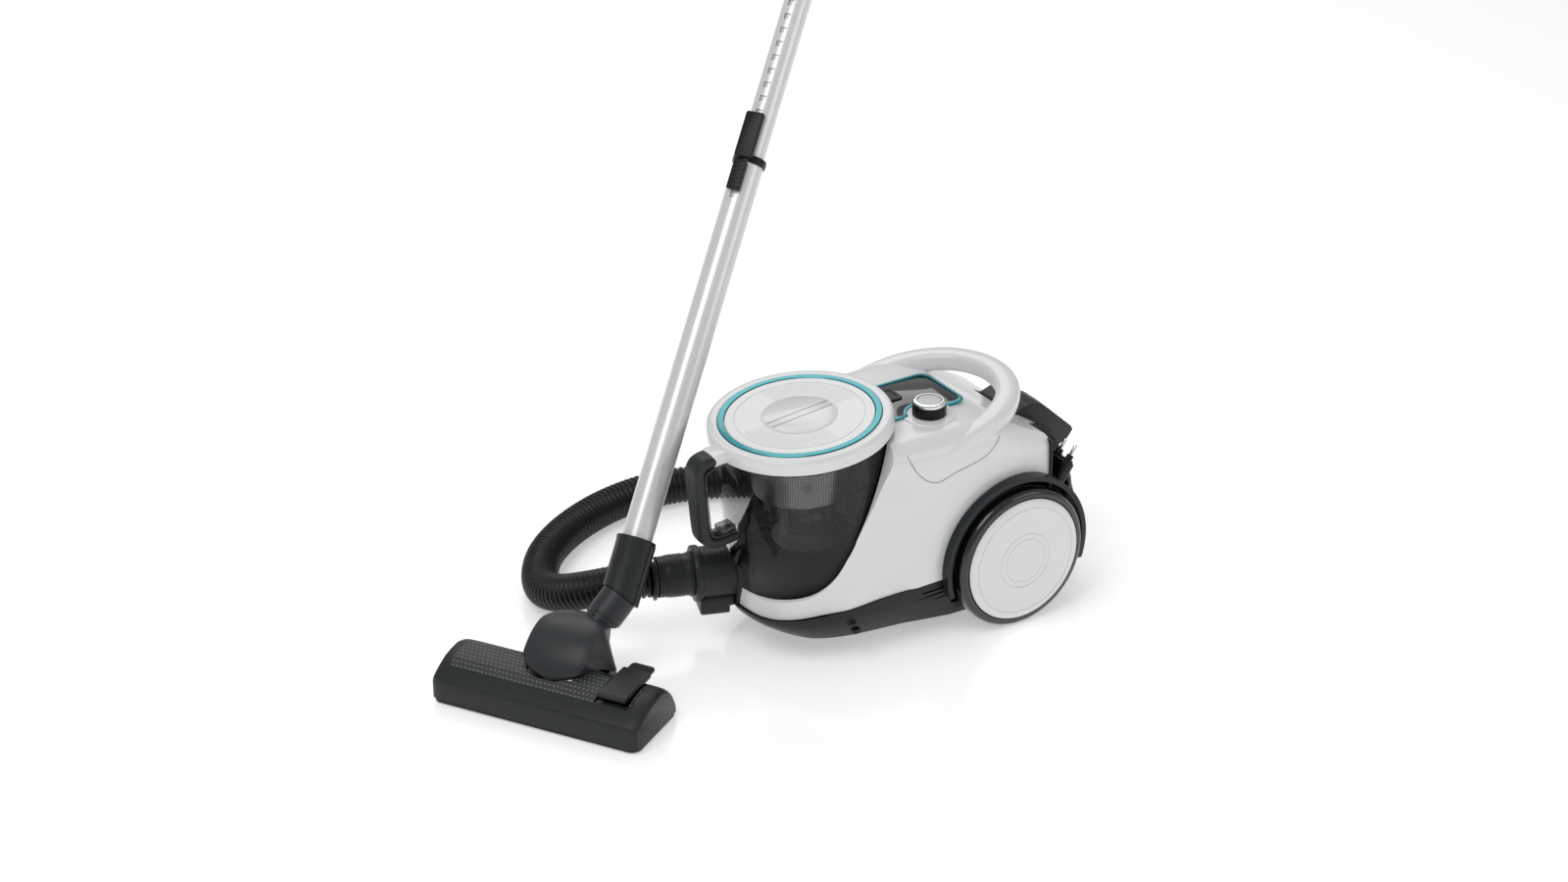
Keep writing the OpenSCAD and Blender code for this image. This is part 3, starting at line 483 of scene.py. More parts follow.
def piece(name, bm, place, body, material, replaces=(), sharp=32):
    """Makes an object from a bmesh in a frame, riding on a body."""
    bmesh.ops.transform(bm, matrix=place, verts=bm.verts)
    mesh = bpy.data.meshes.new(name)
    bm.to_mesh(mesh)
    bm.free()
    mesh.polygons.foreach_set("use_smooth", [True] * len(mesh.polygons))
    mesh.set_sharp_from_angle(angle=math.radians(sharp))
    mesh.materials.append(material)
    made = bpy.data.objects.new(name, mesh)
    bpy.context.scene.collection.objects.link(made)
    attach(made, body)
    if replaces:
        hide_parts(*replaces)
    return made


def joined(*parts):
    """One bmesh from several."""
    whole = bmesh.new()
    for part in parts:
        mesh = bpy.data.meshes.new("part")
        part.to_mesh(mesh)
        whole.from_mesh(mesh)
        bpy.data.meshes.remove(mesh)
        part.free()
    return whole


def moved(bm, matrix):
    bmesh.ops.transform(bm, matrix=matrix, verts=bm.verts)
    return bm


def cut(bm, *tools, operation="DIFFERENCE"):
    """Subtracts closed tools from a closed shape, or joins them to it."""
    holder = bpy.data.meshes.new("cut")
    bm.to_mesh(holder)
    bm.free()
    base = bpy.data.objects.new("cut", holder)
    bpy.context.scene.collection.objects.link(base)
    for tool in tools:
        mesh = bpy.data.meshes.new("tool")
        tool.to_mesh(mesh)
        tool.free()
        other = bpy.data.objects.new("tool", mesh)
        bpy.context.scene.collection.objects.link(other)
        modifier = base.modifiers.new("cut", "BOOLEAN")
        modifier.object = other
        modifier.operation = operation
        modifier.solver = "EXACT"
        bpy.context.view_layer.update()
        result = bpy.data.meshes.new_from_object(
            base.evaluated_get(bpy.context.evaluated_depsgraph_get()))
        base.modifiers.clear()
        base.data = result
        bpy.data.objects.remove(other)
    out = bmesh.new()
    out.from_mesh(base.data)
    bpy.data.objects.remove(base)
    return out


def smooth_route(points, steps):
    """A smooth curve through the points, as the CAD route runs."""
    points = [Vector(p) for p in points]
    line = []
    last = len(points) - 1
    for i in range(last):
        a, b, c, d = (points[min(max(k, 0), last)] for k in (i - 1, i, i + 1, i + 2))
        for k in range(steps):
            t = k / steps
            line.append(0.5 * (2 * b + t * (c - a) + t * t * (2 * a - 5 * b + 4 * c - d)
                               + t ** 3 * (3 * b - a - 3 * c + d)))
    line.append(points[-1])
    return line


def evenly(line, count):
    """The line again, as count points at equal steps along it."""
    lengths = [0.0]
    for a, b in zip(line, line[1:]):
        lengths.append(lengths[-1] + (b - a).length)
    out, k = [], 0
    for i in range(count):
        want = lengths[-1] * i / (count - 1)
        while k < len(line) - 2 and lengths[k + 1] < want:
            k += 1
        span = lengths[k + 1] - lengths[k] or 1.0
        out.append(line[k].lerp(line[k + 1], min(1.0, (want - lengths[k]) / span)))
    return out, lengths[-1]


# ------------------------------------------------------------------ hose

HOSE_ROUTE = [
    (-377, 59, 80), (-394, 67, 78), (-415, 84, 70), (-434, 112, 56), (-446, 146, 40),
    (-446, 184, 27), (-432, 222, 22.5), (-406, 258, 22.5), (-370, 288, 22.5),
    (-326, 312, 22.5), (-278, 328, 22.5), (-226, 334, 22.5), (-176, 326, 22.5),
    (-130, 308, 22.5), (-88, 281, 22.5), (-46, 250, 22.5), (0, 222, 22.5),
    (52, 205, 22.5), (104, 202, 22.5), (150, 212, 22.5), (187, 237, 22.5),
    (209, 274, 22.5), (214, 318, 22.5), (199, 360, 22.5), (166, 392, 22.5),
    (128, 406, 22.5), (104, 409, 22.5), (90, 410, 22.5)]
HOSE_D, HOSE_VALLEY, RIB_PITCH = 44, 39, 7.0


def hose():
    """The ribbed hose along its route, and the points it follows in metres."""
    line = smooth_route(HOSE_ROUTE, 16)
    _, length = evenly(line, 2)
    ribs = round(length / RIB_PITCH)
    shape = [(0.0, 0.0), (0.22, 0.75), (0.36, 1.0), (0.54, 1.0), (0.68, 0.75), (0.9, 0.0)]
    stations = [(i + at, high) for i in range(ribs) for at, high in shape] + [(ribs, 0.0)]
    fine, _ = evenly(line, ribs * 20 + 1)
    loops = []
    for at, high in stations:
        i = round(at * 20)
        here = fine[i]
        ahead = (fine[min(i + 1, ribs * 20)] - fine[max(i - 1, 0)]).normalized()
        side = ahead.cross(Vector((0, 0, 1))).normalized()
        over = side.cross(ahead)
        radius = (HOSE_VALLEY + (HOSE_D - HOSE_VALLEY) * high) / 2
        loops.append([here + radius * (math.cos(a) * side + math.sin(a) * over)
                      for a in (2 * math.pi * k / 28 for k in range(28))])
    path = [HOME @ p for p in evenly(line, 120)[0]]
    made = piece("ribbed_hose", loft(loops), HOME, "canister", HOSE, ("hose",), sharp=60)
    return made, path, length / 1000


hose_piece, hose_path, hose_length = hose()


# ------------------------------------------------------------------ body shape

PLAN_HALF = [(-303, 0), (-302, 22), (-298, 43), (-289, 62), (-276, 78), (-259, 91),
             (-238, 101), (-210, 108), (-175, 112), (-120, 115.5), (-80, 117.3),
             (-40, 118), (10, 116.5), (60, 111), (88, 102), (107, 86), (118, 62),
             (124, 30), (124.6, 0)]
TOP_LINE = [(-320, 250), (-60, 250), (-28, 248.6), (0, 241), (30, 225), (60, 211),
            (88, 197), (104, 178), (114, 155), (121, 128), (125, 108)]
SEAM_LINE = [(-320, 52), (-290, 55), (-262, 61), (-230, 67), (-180, 73), (-74, 78), (130, 78)]
CREASE_FRONT = [(46, -222), (75, -212), (89, -202), (102, -185), (140, -163),
                (172, -147), (211, -132), (260, -120)]
CREASE_REAR = [(46, -146), (94, -145), (140, -139), (170, -126), (206, -89), (260, -30)]
ROLL = 24


def along(line, x):
    """Height of a line of (x, value) points at x."""
    for (x0, v0), (x1, v1) in zip(line, line[1:]):
        if x <= x1:
            return v0 + (v1 - v0) * max(0.0, x - x0) / (x1 - x0)
    return line[-1][1]


def ease(t):
    t = max(0.0, min(1.0, t))
    return t * t * (3 - 2 * t)


def plan_outline(steps=5):
    """The body's plan as (x, y, inward x, inward y), once round."""
    half = [(p.x, p.y) for p in smooth_route([(x, y, 0) for x, y in PLAN_HALF], steps)]
    around = half + [(x, -y) for x, y in reversed(half[1:-1])]
    out = []
    for i, (x, y) in enumerate(around):
        ax, ay = around[i - 1]
        bx, by = around[(i + 1) % len(around)]
        size = math.hypot(bx - ax, by - ay)
        out.append((x, y, (by - ay) / size, -(bx - ax) / size))
    return out


OUTLINE = plan_outline()


def pulled_in(x, z, roll=ROLL):
    """How far the flank stands inside the plan outline at a place."""
    top = along(TOP_LINE, x)
    roll -= 12 * ease((x - 10) / 50)
    lean = 9.0 * max(0.0, (z - 80) / 170) ** 2
    over = max(0.0, z - (top - roll))
    turned = roll - math.sqrt(max(0.0, roll * roll - min(over, roll) ** 2))
    front = along(CREASE_FRONT, z)
    rear = along(CREASE_REAR, z)
    hollow = 5.5 * ease((front - x) / 34) * (1 - ease((z - 205) / 40))
    band = 3.0 * (1 - ease((x - rear) / 12)) * (1 - ease((z - 150) / 50))
    flare = 4.0 * ease((78 - z) / 34) * ease((-150 - x) / 60)
    return lean + turned + max(0.0, hollow + band - flare)


def body_ring(share, inset=0.0, low=SEAM_LINE):
    """One loop of the housing, at a share of its height."""
    ring = []
    for x, y, nx, ny in OUTLINE:
        bottom, top = along(low, x), along(TOP_LINE, x) - inset
        z = bottom + (top - bottom) * share
        t = pulled_in(x, z + inset) + inset
        ring.append((x + nx * t, y + ny * t, z))
    return ring


def housing_solid(inset=0.0, low=SEAM_LINE):
    """The housing as one closed form: flanks, rolled edge and crowned top."""
    shares = [i / 26 * 0.86 for i in range(27)] + [0.86 + 0.14 * math.sin(math.pi / 2 * i / 9)
                                                  for i in range(1, 10)]
    loops = [body_ring(s, inset, low) for s in shares]
    rim = loops[-1]
    for q in (0.9, 0.75, 0.55, 0.3, 0.0):
        loops.append([(x, y * q, z) for x, y, z in rim])
    return loft(loops, top=False)


def flank_y(x, z):
    """Half width of the housing at a place on its flank."""
    best = min(OUTLINE, key=lambda p: abs(p[0] - x) + (0 if p[1] > 0 else 1000))
    return best[1] + best[3] * pulled_in(x, z)


def side_cut(points, y0, y1):
    """A slab from an outline in the XZ plane, for cutting."""
    bm = bmesh.new()
    face = bm.faces.new([bm.verts.new((x, y0, z)) for x, z in points])
    made = bmesh.ops.extrude_face_region(bm, geom=[face])["geom"]
    bmesh.ops.translate(bm, vec=(0, y1 - y0, 0),
                        verts=[v for v in made if isinstance(v, bmesh.types.BMVert)])
    return outward(bm)


def block(x0, y0, z0, x1, y1, z1, r=0.0):
    bm = slab([(x0, y0), (x1, y0), (x1, y1), (x0, y1)], z0, z1)
    if r:
        bmesh.ops.bevel(bm, geom=bm.edges[:], offset=r, segments=3, profile=0.5,
                        affect="EDGES", material=-1)
    return bm


def rod(r, start, stop, sides=32, tip=None):
    """A round bar between two points, with an optional smaller far end."""
    start, stop = Vector(start), Vector(stop)
    bm = bmesh.new()
    bmesh.ops.create_cone(bm, cap_ends=True, segments=sides, radius1=r,
                          radius2=r if tip is None else tip, depth=(stop - start).length)
    turned = (stop - start).to_track_quat("Z", "Y").to_matrix().to_4x4()
    bmesh.ops.transform(bm, matrix=Matrix.Translation((start + stop) / 2) @ turned,
                        verts=bm.verts)
    return outward(bm)


BIN_HOME = shift(-214.5, 0, 268) @ turn(-BIN_LEAN, "Y")
FRONT_EDGE = [(-340, 72), (-303, 72)] + [
    (p.x, p.z) for p in smooth_route([(-280, 0, 76), (-262, 0, 82), (-246, 0, 90),
                                      (-232, 0, 102), (-220, 0, 118), (-203, 0, 149),
                                      (-176, 0, 200), (-151, 0, 250)], 4)]


def bin_cone(extra, low=-206, high=60):
    grow = 5 / 204
    return moved(spun([(0, low), (95 + extra + grow * (low + 204), low),
                       (95 + extra + grow * (high + 204), high), (0, high)], 160), BIN_HOME)


def wheel_tools(r):
    return [rod(r, (0, s * 104, AXLE_Z), (0, s * 170, AXLE_Z), 128) for s in (1, -1)]


RECESS_SIDE = [(56, 224), (58, 150), (66, 126), (84, 120), (104, 124), (114, 138),
               (113.5, 152), (106, 172), (94, 190), (92, 230)]


def upper_housing():
    front = side_cut(FRONT_EDGE + [(-151, 320), (-340, 320)], -150, 150)
    rear = side_cut([(50, 262), (50, 199), (82, 185), (110, 157), (150, 150), (150, 262)],
                    -37, 37)
    inner_low = [(-320, 30), (140, 30)]
    hollow = cut(housing_solid(3.0, inner_low), side_cut(
        [(-400, 0), (-94, 0), (-94, 300), (-400, 300)], -150, 150))
    shell = cut(housing_solid(), hollow, front, bin_cone(2), *wheel_tools(91),
                block(-312, -5, 30, -232, 91, 120), rear,
                side_cut(RECESS_SIDE, -140, -56))
    base = spun([(0, 248), (31, 248), (31, 250.2), (30.2, 251.2), (28, 251.6), (0, 251.6)], 96)
    moved(base, shift(-72, -48, 0))
    return piece("upper_housing_shell", joined(shell, base), HOME, "canister", WHITE,
                 ("upper_housing",), sharp=28)


upper_housing()


def well_liner():
    """The dark wall behind the bin: a dark sheet over the white well, partly the wall's own dark plastic
    and partly painted shade inside the well.
    """
    ring = moved(spun([(96.8, -196), (101.2, -22), (100.4, -22), (96, -196)], 160, closed=True),
                 BIN_HOME)
    trim = [(x + 1.6, z - 1.0) for x, z in FRONT_EDGE]
    made = cut(ring, side_cut(trim + [(-149, 330), (-345, 330)], -150, 150),
               block(-330, -130, 0, -225, 130, 300))
    # the sheet carries painted shade for the enclosed well, over its own dark plastic
    return piece("bin_well_liner", made, HOME, "canister", CHASSIS)


well_liner()


def flank_seams():
    """The thin joint lines of the inlays that the carrying handle grows from."""
    line = smooth_route([(-16, 0, 234), (-39, 0, 216), (-79, 0, 207), (-102, 0, 201),
                         (-119, 0, 208), (-132, 0, 223), (-139, 0, 240)], 8)
    parts = []
    for s in (1, -1):
        way = [Vector((p.x, s * (flank_y(p.x, p.z) + 0.05), p.z)) for p in line]
        loops = []
        for i, p in enumerate(way):
            ahead = (way[min(i + 1, len(way) - 1)] - way[max(i - 1, 0)]).normalized()
            side = ahead.cross(Vector((0, s, 0))).normalized()
            out = side.cross(ahead)
            loops.append([p + 0.42 * (math.cos(a) * side + math.sin(a) * out)
                          for a in (math.pi * k / 4 for k in range(8))])
        parts.append(loft(loops))
    return piece("handle_inlay_seams", joined(*parts), HOME, "canister", SEAM_GREY)


flank_seams()


def sweep(points, section, normals, steps=4):
    """Sweeps a closed section, made by section(share), along a smooth path."""
    line = smooth_route(points, steps)
    loops = []
    last = len(line) - 1
    for i, p in enumerate(line):
        ahead = (line[min(i + 1, last)] - line[max(i - 1, 0)]).normalized()
        side = ahead.cross(Vector(normals)).normalized()
        over = side.cross(ahead)
        loops.append([p + side * u + over * v for u, v in section(i / last)])
    return loft(loops)


def soft_box(w, h, power=3.2, count=32):
    """A closed section between an ellipse and a rectangle."""
    out = []
    for k in range(count):
        a = 2 * math.pi * k / count
        c, s = math.cos(a), math.sin(a)
        out.append((w / 2 * math.copysign(abs(c) ** (2 / power), c),
                    h / 2 * math.copysign(abs(s) ** (2 / power), s)))
    return out


def carry_handle():
    half = [(-156, -78, 196), (-134, -88, 206), (-108, -94, 216.5), (-80, -96.5, 226),
            (-48, -95.5, 235), (-16, -89, 242), (13, -74, 247.5), (35, -52, 251),
            (47, -26, 253), (51, 0, 253.6)]
    route = half + [(x, -y, z) for x, y, z in reversed(half[:-1])]

    def section(share):
        near = abs(share - 0.5) * 2
        return soft_box(28 + 6 * ease((near - 0.6) / 0.4), 24 + 8 * ease((near - 0.6) / 0.4), 3.0)
    made = cut(sweep(route, section, (0, 0, 1)), bin_cone(8))
    return piece("carrying_handle", made, HOME, "canister", WHITE, ("carry_handle",), sharp=50)


carry_handle()


# ------------------------------------------------------------------ control panel

def panel_outline(t):
    """The panel with a bite round the knob, pulled in by t."""
    bite = 25 + t
    x0, x1, y0, y1 = -128 + t, -16 - t, -42 + t, 42 - t
    dx = math.sqrt(max(1.0, bite ** 2 - (y0 + 48) ** 2))
    a1 = math.degrees(math.atan2(y0 + 48, dx))
    arc = corner(-72, -48, bite, a1, 180 - a1, 20)
    return ([(x0, y0)] + list(reversed(arc)) + corner(x1 - 10, y0 + 10, 10, -90, 0)
            + corner(x1 - 12, y1 - 12, 12, 0, 90) + [(x0, y1)])


def control_panel():
    frame_ring = cut(slab(panel_outline(0), 249.6, 252.8, 0.9, 3),
                     slab(panel_outline(3.8), 248, 256), bin_cone(6))
    piece("panel_frame_band", frame_ring, HOME, "canister", TEAL, ("panel_frame",))
    window = cut(slab(panel_outline(3.9), 249.6, 251.9, 0.5, 2), bin_cone(7))
    piece("panel_window", window, HOME, "canister", WINDOW, ("panel_glass",))
    key = slab(pad(-10.5, -14.5, 10.5, 14.5, 4), 0, 4.2, 1.2, 3)
    dish = cut(key, slab(pad(-6.5, -9.5, 6.5, 9.5, 3), 3.5, 8))
    piece("bin_release_key", moved(dish, shift(-86, 12, 250)), HOME, "release_button",
          ANTHRACITE, ("release_button",))


control_panel()


def knob():
    skirt = spun([(0, -5), (14, -5), (14, 0.3), (18.6, 0.3), (19, 1), (18.8, 13.5), (18.2, 14.9),
                  (15, 14.9), (14.9, 8), (0, 8)], 120)
    ribs = [rod(0.8, (18.7 * math.cos(a), 18.7 * math.sin(a), 1.2),
                (18.7 * math.cos(a), 18.7 * math.sin(a), 12.5), 8)
            for a in (2 * math.pi * k / 16 for k in range(16))]
    piece("knob_grip", joined(skirt, *ribs), HOME @ shift(-72, -48, 250), "knob", KNOB,
          ("knob_skirt",), sharp=40)
    cap = spun([(14.6, 14.9), (18.4, 14.9), (18.5, 17.2), (17.8, 18.7), (16.4, 19.2),
                (14.7, 19.1)], 120, closed=True)
    piece("knob_ring", cap, HOME @ shift(-72, -48, 250), "knob", CHROME, ("knob_cap",))
    button = spun([(0, 8.2), (13.9, 8.2), (13.9, 18.0), (13.2, 18.7), (0, 19.0)], 96)
    piece("start_button", button, HOME @ shift(-72, -48, 250), "power_button", BUTTON,
          ("power_button",))


knob()

# ------------------------------------------------------------------ bin and lid

def bin_and_lid():
    collar = cut(spun([(93, -17), (105, -17), (105.2, -14), (105.2, -6), (104.6, -2.6),
                       (103.2, -0.9), (101, -0.2), (94, 0), (93, -0.4)], 160, closed=True))
    root = slab(pad(-121, -13, -84, 13, 3), -17, -3, 2.5, 3)
    web = cut(root, spun([(0, -30), (94, -30), (94, 10), (0, 10)], 128))
    piece("lid_collar", joined(collar, web), BIN, "bin", WHITE, ("bin_collar",), sharp=40)
    band = spun([(84.9, -3.5), (92.2, -3.5), (92.2, 0.1), (91.6, 0.6), (85.5, 0.6),
                 (84.9, 0.1)], 160, closed=True)
    piece("lid_colour_ring", band, BIN, "lid", TEAL, ("lid_ring",))
    cover = spun([(0, -6), (84.4, -6), (84.4, -0.7), (83.8, -0.1), (74.6, -0.1), (74.1, -0.9),
                  (73.2, -0.9), (72.7, -0.1), (43.5, 0.0), (42.9, -0.6), (42.2, -0.6),
                  (41.8, 0.3), (40.6, 1.0), (0, 1.3)], 160)
    skirt = spun([(61, -24), (64, -24), (64, -5), (61, -5)], 96, closed=True)
    lines = [block(-40.5, y - 0.25, 0.6, 40.5, y + 0.25, 1.55) for y in (-5.6, 5.6)]
    piece("lid_disc", joined(cut(cover, *lines), skirt), BIN, "lid", LID_WHITE,
          ("lid_cover",), sharp=30)
    edges = [block(-40, y - 0.35, 1.1, 40, y + 0.35, 1.5) for y in (-5.6, 5.6)]
    piece("lid_thin_lines", joined(*edges), BIN, "lid", SEAM_GREY)
    seal = spun([(94, -20.6), (101.2, -20.6), (102.4, -19.8), (102.4, -17.6), (101.2, -16.9),
                 (94, -16.9)], 160, closed=True)
    piece("bin_seal_band", seal, BIN, "bin", SEAL, ("bin_seal",))
    top, low = 100, 95.1
    shell = spun([(low - 5, -204), (low, -203.2), (low + 0.1, -196), (top, -21), (top + 1.4, -20.4),
                  (top + 1.4, -19), (top - 2.4, -19), (low - 2.4, -196), (low - 5, -200.4)],
                 160, closed=True)
    piece("clear_bin_wall", shell, BIN, "bin", SMOKE, ("bin_shell",), sharp=40)


bin_and_lid()


def bin_inside():
    """What shows through the clear wall: the guide duct, the cyclone and its screen."""
    cone = spun([(0, -154), (43, -154), (44, -152), (34, -148), (31, -140), (54, -46), (60, -42),
                 (60.6, -26), (56, -24), (54, -30), (0, -34)], 96)
    vanes = [moved(block(-0.8, 33, -120, 0.8, 50, -60), turn(a, "Z"))
             for a in range(0, 360, 30)]
    piece("cyclone_body", joined(cone, *vanes), BIN, "lid", CYCLONE, ("cyclone_cone",))
    screen = spun([(58.8, -86), (60.8, -86), (60.8, -44), (58.8, -44)], 128, closed=True)
    piece("cyclone_screen", screen, BIN, "lid", MESH, ("cyclone_mesh",))
    # the duct that leads the air from the inlet round the wall
    duct = cut(spun([(71, -196), (91.6, -196), (95.2, -60), (72, -40)], 128, closed=True),
               moved(block(-140, -200, -230, 40, 200, 0), turn(0, "Z")))
    piece("dust_guide", duct, BIN, "bin", GUIDE)
    tab = slab(pad(-4, -10, 4, 10, 3), 0, 3, 1, 2)
    moved(tab, turn(-118, "Z") @ shift(0, 0, 0) @ shift(90.5, 0, -78) @ turn(90, "Y"))
    piece("level_tab", tab, BIN, "bin", LINER)


bin_inside()


def bin_handle():
    route = [(-106, 0, -10.4), (-118, 0, -10.3), (-128, 0, -10.7), (-134.6, 0, -13.2),
             (-138.6, 0, -18.8), (-139.8, 0, -28), (-140, 0, -60), (-139.6, 0, -96),
             (-137.8, 0, -105.2), (-132.6, 0, -111.8), (-124, 0, -114.5), (-110, 0, -115),
             (-98.2, 0, -114.8)]

    def section(share):
        low = ease((share - 0.72) / 0.2)
        return soft_box(12.6 - 2.4 * low, 26 - 2 * low, 5)
    grip = cut(sweep(route, section, (0, 1, 0), 5),
               spun([(0, -210), (97.3, -210), (97.6, -110), (100.5, -17), (105.6, -17),
                     (105.6, 20), (0, 20)], 128),
               block(-117.5, -14, -17.6, -60, 14, 30))
    piece("bin_handle_grip", grip, BIN, "bin", ANTHRACITE, ("bin_handle",), sharp=45)
    lining = [(-108, 0, -19.4), (-122, 0, -19.8), (-130, 0, -24), (-132.2, 0, -34),
              (-132.2, 0, -70), (-131.6, 0, -96), (-128, 0, -104.6), (-119, 0, -107.6),
              (-104, 0, -107.6), (-98.5, 0, -107.4)]
    inside = cut(sweep(lining, lambda share: soft_box(3.2, 21, 4), (0, 1, 0), 5),
                 spun([(0, -210), (97.3, -210), (97.6, -110), (100.5, -17), (0, -17)], 128))
    lug = block(-118, -9, -107, -99, 9, -99.5, 2)
    inside_lug = cut(lug, spun([(0, -210), (97.4, -210), (98, -90), (0, -90)], 128))
    piece("bin_handle_lining", joined(inside, inside_lug), BIN, "bin", LINER,
          ("handle_liner",), sharp=45)


bin_handle()


# ------------------------------------------------------------------ wheels

def wheels():
    for side, s in (("left", 1), ("right", -1)):
        place = HOME @ shift(0, 0, AXLE_Z) @ turn(-90 * s, "X")
        tyre = spun([(73, 112), (80, 112), (83, 113), (84.6, 115.5), (85, 119), (85, 132),
                     (84.5, 135), (82.6, 137.4), (80, 138.4), (76.5, 138.6), (75.2, 137.4),
                     (73, 136)], 160, closed=True)
        piece("tyre_band_" + side, tyre, place, "wheel_" + side, TYRE, ("tyre_" + side,))
        disc = spun([(0, 130), (72.9, 130), (72.9, 112.6), (73.1, 136.4), (74.6, 137.9),
                     (74.8, 139), (73.9, 140.8), (71.5, 142.1), (66.6, 142.7), (66.0, 141.9),
                     (65.2, 141.9), (64.7, 142.8), (35, 143.0), (34.3, 142.2), (33.3, 142.2),
                     (32.6, 143.0), (28, 142.9), (27.4, 142.3), (26.6, 142.3), (26, 142.9),
                     (0, 143.0)], 160)
        hub = spun([(6.1, 112), (15, 112), (15, 130.5), (6.1, 130.5)], 64, closed=True)
        piece("wheel_disc_" + side, joined(disc, hub), place, "wheel_" + side, WHITE,
              ("disc_" + side,), sharp=35)


wheels()


# ------------------------------------------------------------------ rear fittings

def rear_cover():
    bm = side_cut([(52, 200), (84, 187), (112, 159), (124, 151), (137, 157), (145, 167),
                   (142, 172), (100, 211), (93, 214.5), (78, 216), (60, 210)], -36, 36)
    bmesh.ops.bevel(bm, geom=bm.edges[:], offset=2.2, segments=3, profile=0.5,
                    affect="EDGES", material=-1)
    slope = shift(116, 0, 196) @ turn(42, "Y")
    pocket = moved(slab(pad(-19, -16, 19, 16, 5), -8, 20), slope)
    notch = moved(slab([(-26, -30), (26, -30), (26, -27.4), (-26, -27.4)], -1.2, 12), slope)
    notch2 = moved(slab([(-26, 27.4), (26, 27.4), (26, 30), (-26, 30)], -1.2, 12), slope)
    piece("rear_cover_shell", cut(bm, pocket, notch, notch2), HOME, "canister", ANTHRACITE,
          ("rear_cover",), sharp=40)
    key = slab(pad(-18, -15, 18, 15, 5), -5, 1.4, 1.4, 3)
    dip = slab(pad(-12, -9, 12, 9, 3), 0.5, 5)
    piece("rewind_key", cut(key, dip), HOME @ slope, "rewind_pedal", ANTHRACITE,
          ("rewind_pedal",), sharp=40)


rear_cover()


def mains_plug():
    place = HOME @ shift(92, -76, 150) @ turn(35, "Y")
    body = slab(pad(-9, -17, 9, 17, 6), -16, 12, 2.5, 3)
    face = slab(pad(-7, -15, 7, 15, 5), 11, 14.2, 1, 2)
    collars = [spun([(0, 13), (4.2, 13), (4.2, 19), (3.4, 20), (0, 20)], 32) for _ in (0, 1)]
    for c, s in zip(collars, (1, -1)):
        moved(c, shift(0, s * 9.5, 0))
    tail = spun([(0, -23), (4.4, -23), (7, -16), (0, -15)], 32)
    piece("plug_moulding", joined(body, face, tail, *collars), place, "mains_plug", KNOB,
          ("plug_body",), sharp=40)
    pins = [moved(spun([(0, 14), (2.4, 14), (2.4, 30.5), (2.1, 32.2), (1.2, 33), (0, 33)], 32),
                  shift(0, s * 9.5, 0)) for s in (1, -1)]
    piece("plug_contacts", joined(*pins), place, "mains_plug", CHROME, ("plug_pins",))


mains_plug()

# ------------------------------------------------------------------ chassis

def chassis():
    low_line = [(-320, 38), (-286, 30), (-262, 26), (-150, 23), (-70, 15), (100, 14), (126, 28)]
    shares = (0.0, 0.12, 0.3, 0.55, 0.8, 1.0)

    def ring(share, inset, lift):
        """The plan outline at one share of the chassis's height, drawn in evenly."""
        made = []
        t = inset + 20 * (1 - share) ** 1.8 + 0.8
        for x, y, nx, ny in OUTLINE:
            bottom, top = along(low_line, x) + lift, along(SEAM_LINE, x) - 0.4
            made.append((-88 + (x + 88) * (1 - t / 214), y * (1 - t / 130),
                         bottom + (top - bottom) * share))
        return made
    cup = loft([ring(s, 0, 0) for s in shares] + [ring(s, 2.6, 2.6) for s in reversed(shares)])
    slots = []
    for s in (1, -1):
        for i in range(7):
            x0, x1, z = -176 + i * 9, -86, 28 + i * 6.6
            bar = block(x0, 0, 0, x1, 14, 2.6, 0.8)
            moved(bar, shift(0, s * 118 - 7, z - 3 + 0.0) @ shift(-86, 0, 0) @ turn(-3, "Y")
                  @ shift(86, 0, 0))
            slots.append(bar)
    outer = cut(cup, *wheel_tools(91), *slots,
                rod(20, (-232, 0, 0), (-232, 0, 60), 64),
                block(-304, -2, 40, -232, 88, 90))
    lugs = [block(-212, s * 107 - 4, 38, -203, s * 107 + 4, 44, 1) for s in (1, -1)]
    piece("chassis_pan", joined(outer, *lugs), HOME, "canister", CHASSIS, ("chassis",))


chassis()


# ------------------------------------------------------------------ inlet and cuff

def inlet():
    body = spun([(24.6, -62), (29.4, -62), (30, -58), (30, -10), (30.4, -9), (32, -8.4),
                 (32.4, -6.4), (32.4, -1.6), (31.6, -0.4), (29.6, 0), (25.4, 0), (24.6, -1)],
                96, closed=True)
    slots = []
    for i in range(6):
        ring = spun([(29.2, -44 + i * 5.8), (33, -44 + i * 5.8), (33, -42.2 + i * 5.8),
                     (29.2, -42.2 + i * 5.8)], 96, closed=True)
        slots.append(cut(ring, block(-60, -60, -70, 4, 60, 10),
                         block(-60, -70, -70, 60, -22, 10)))
    flank = block(-46, -33, -66, 22, 27, -46, 5)
    foot = slab(pad(-45, -24, -20, 24, 7), -46, -6, 3, 3)
    tunnel = rod(24.6, (0, 0, -80), (0, 0, 20), 96)
    bin_inverse = INLET.inverted() @ HOME
    hollow_bin = moved(bin_cone(0.9), bin_inverse)
    nose = moved(rod(106.4, (-197, 0, 0), (-197, 0, 47.2), 128), bin_inverse)
    made = cut(joined_whole(body, flank, foot), tunnel, hollow_bin, nose, *slots)
    piece("inlet_housing", made, INLET, "canister", ANTHRACITE, ("inlet_socket",), sharp=35)


def joined_whole(*parts):
    """Several closed forms made one solid."""
    first, *rest = parts
    return merged(first, *rest)


def merged(bm, *others):
    return cut(bm, *others, operation="UNION")


inlet()


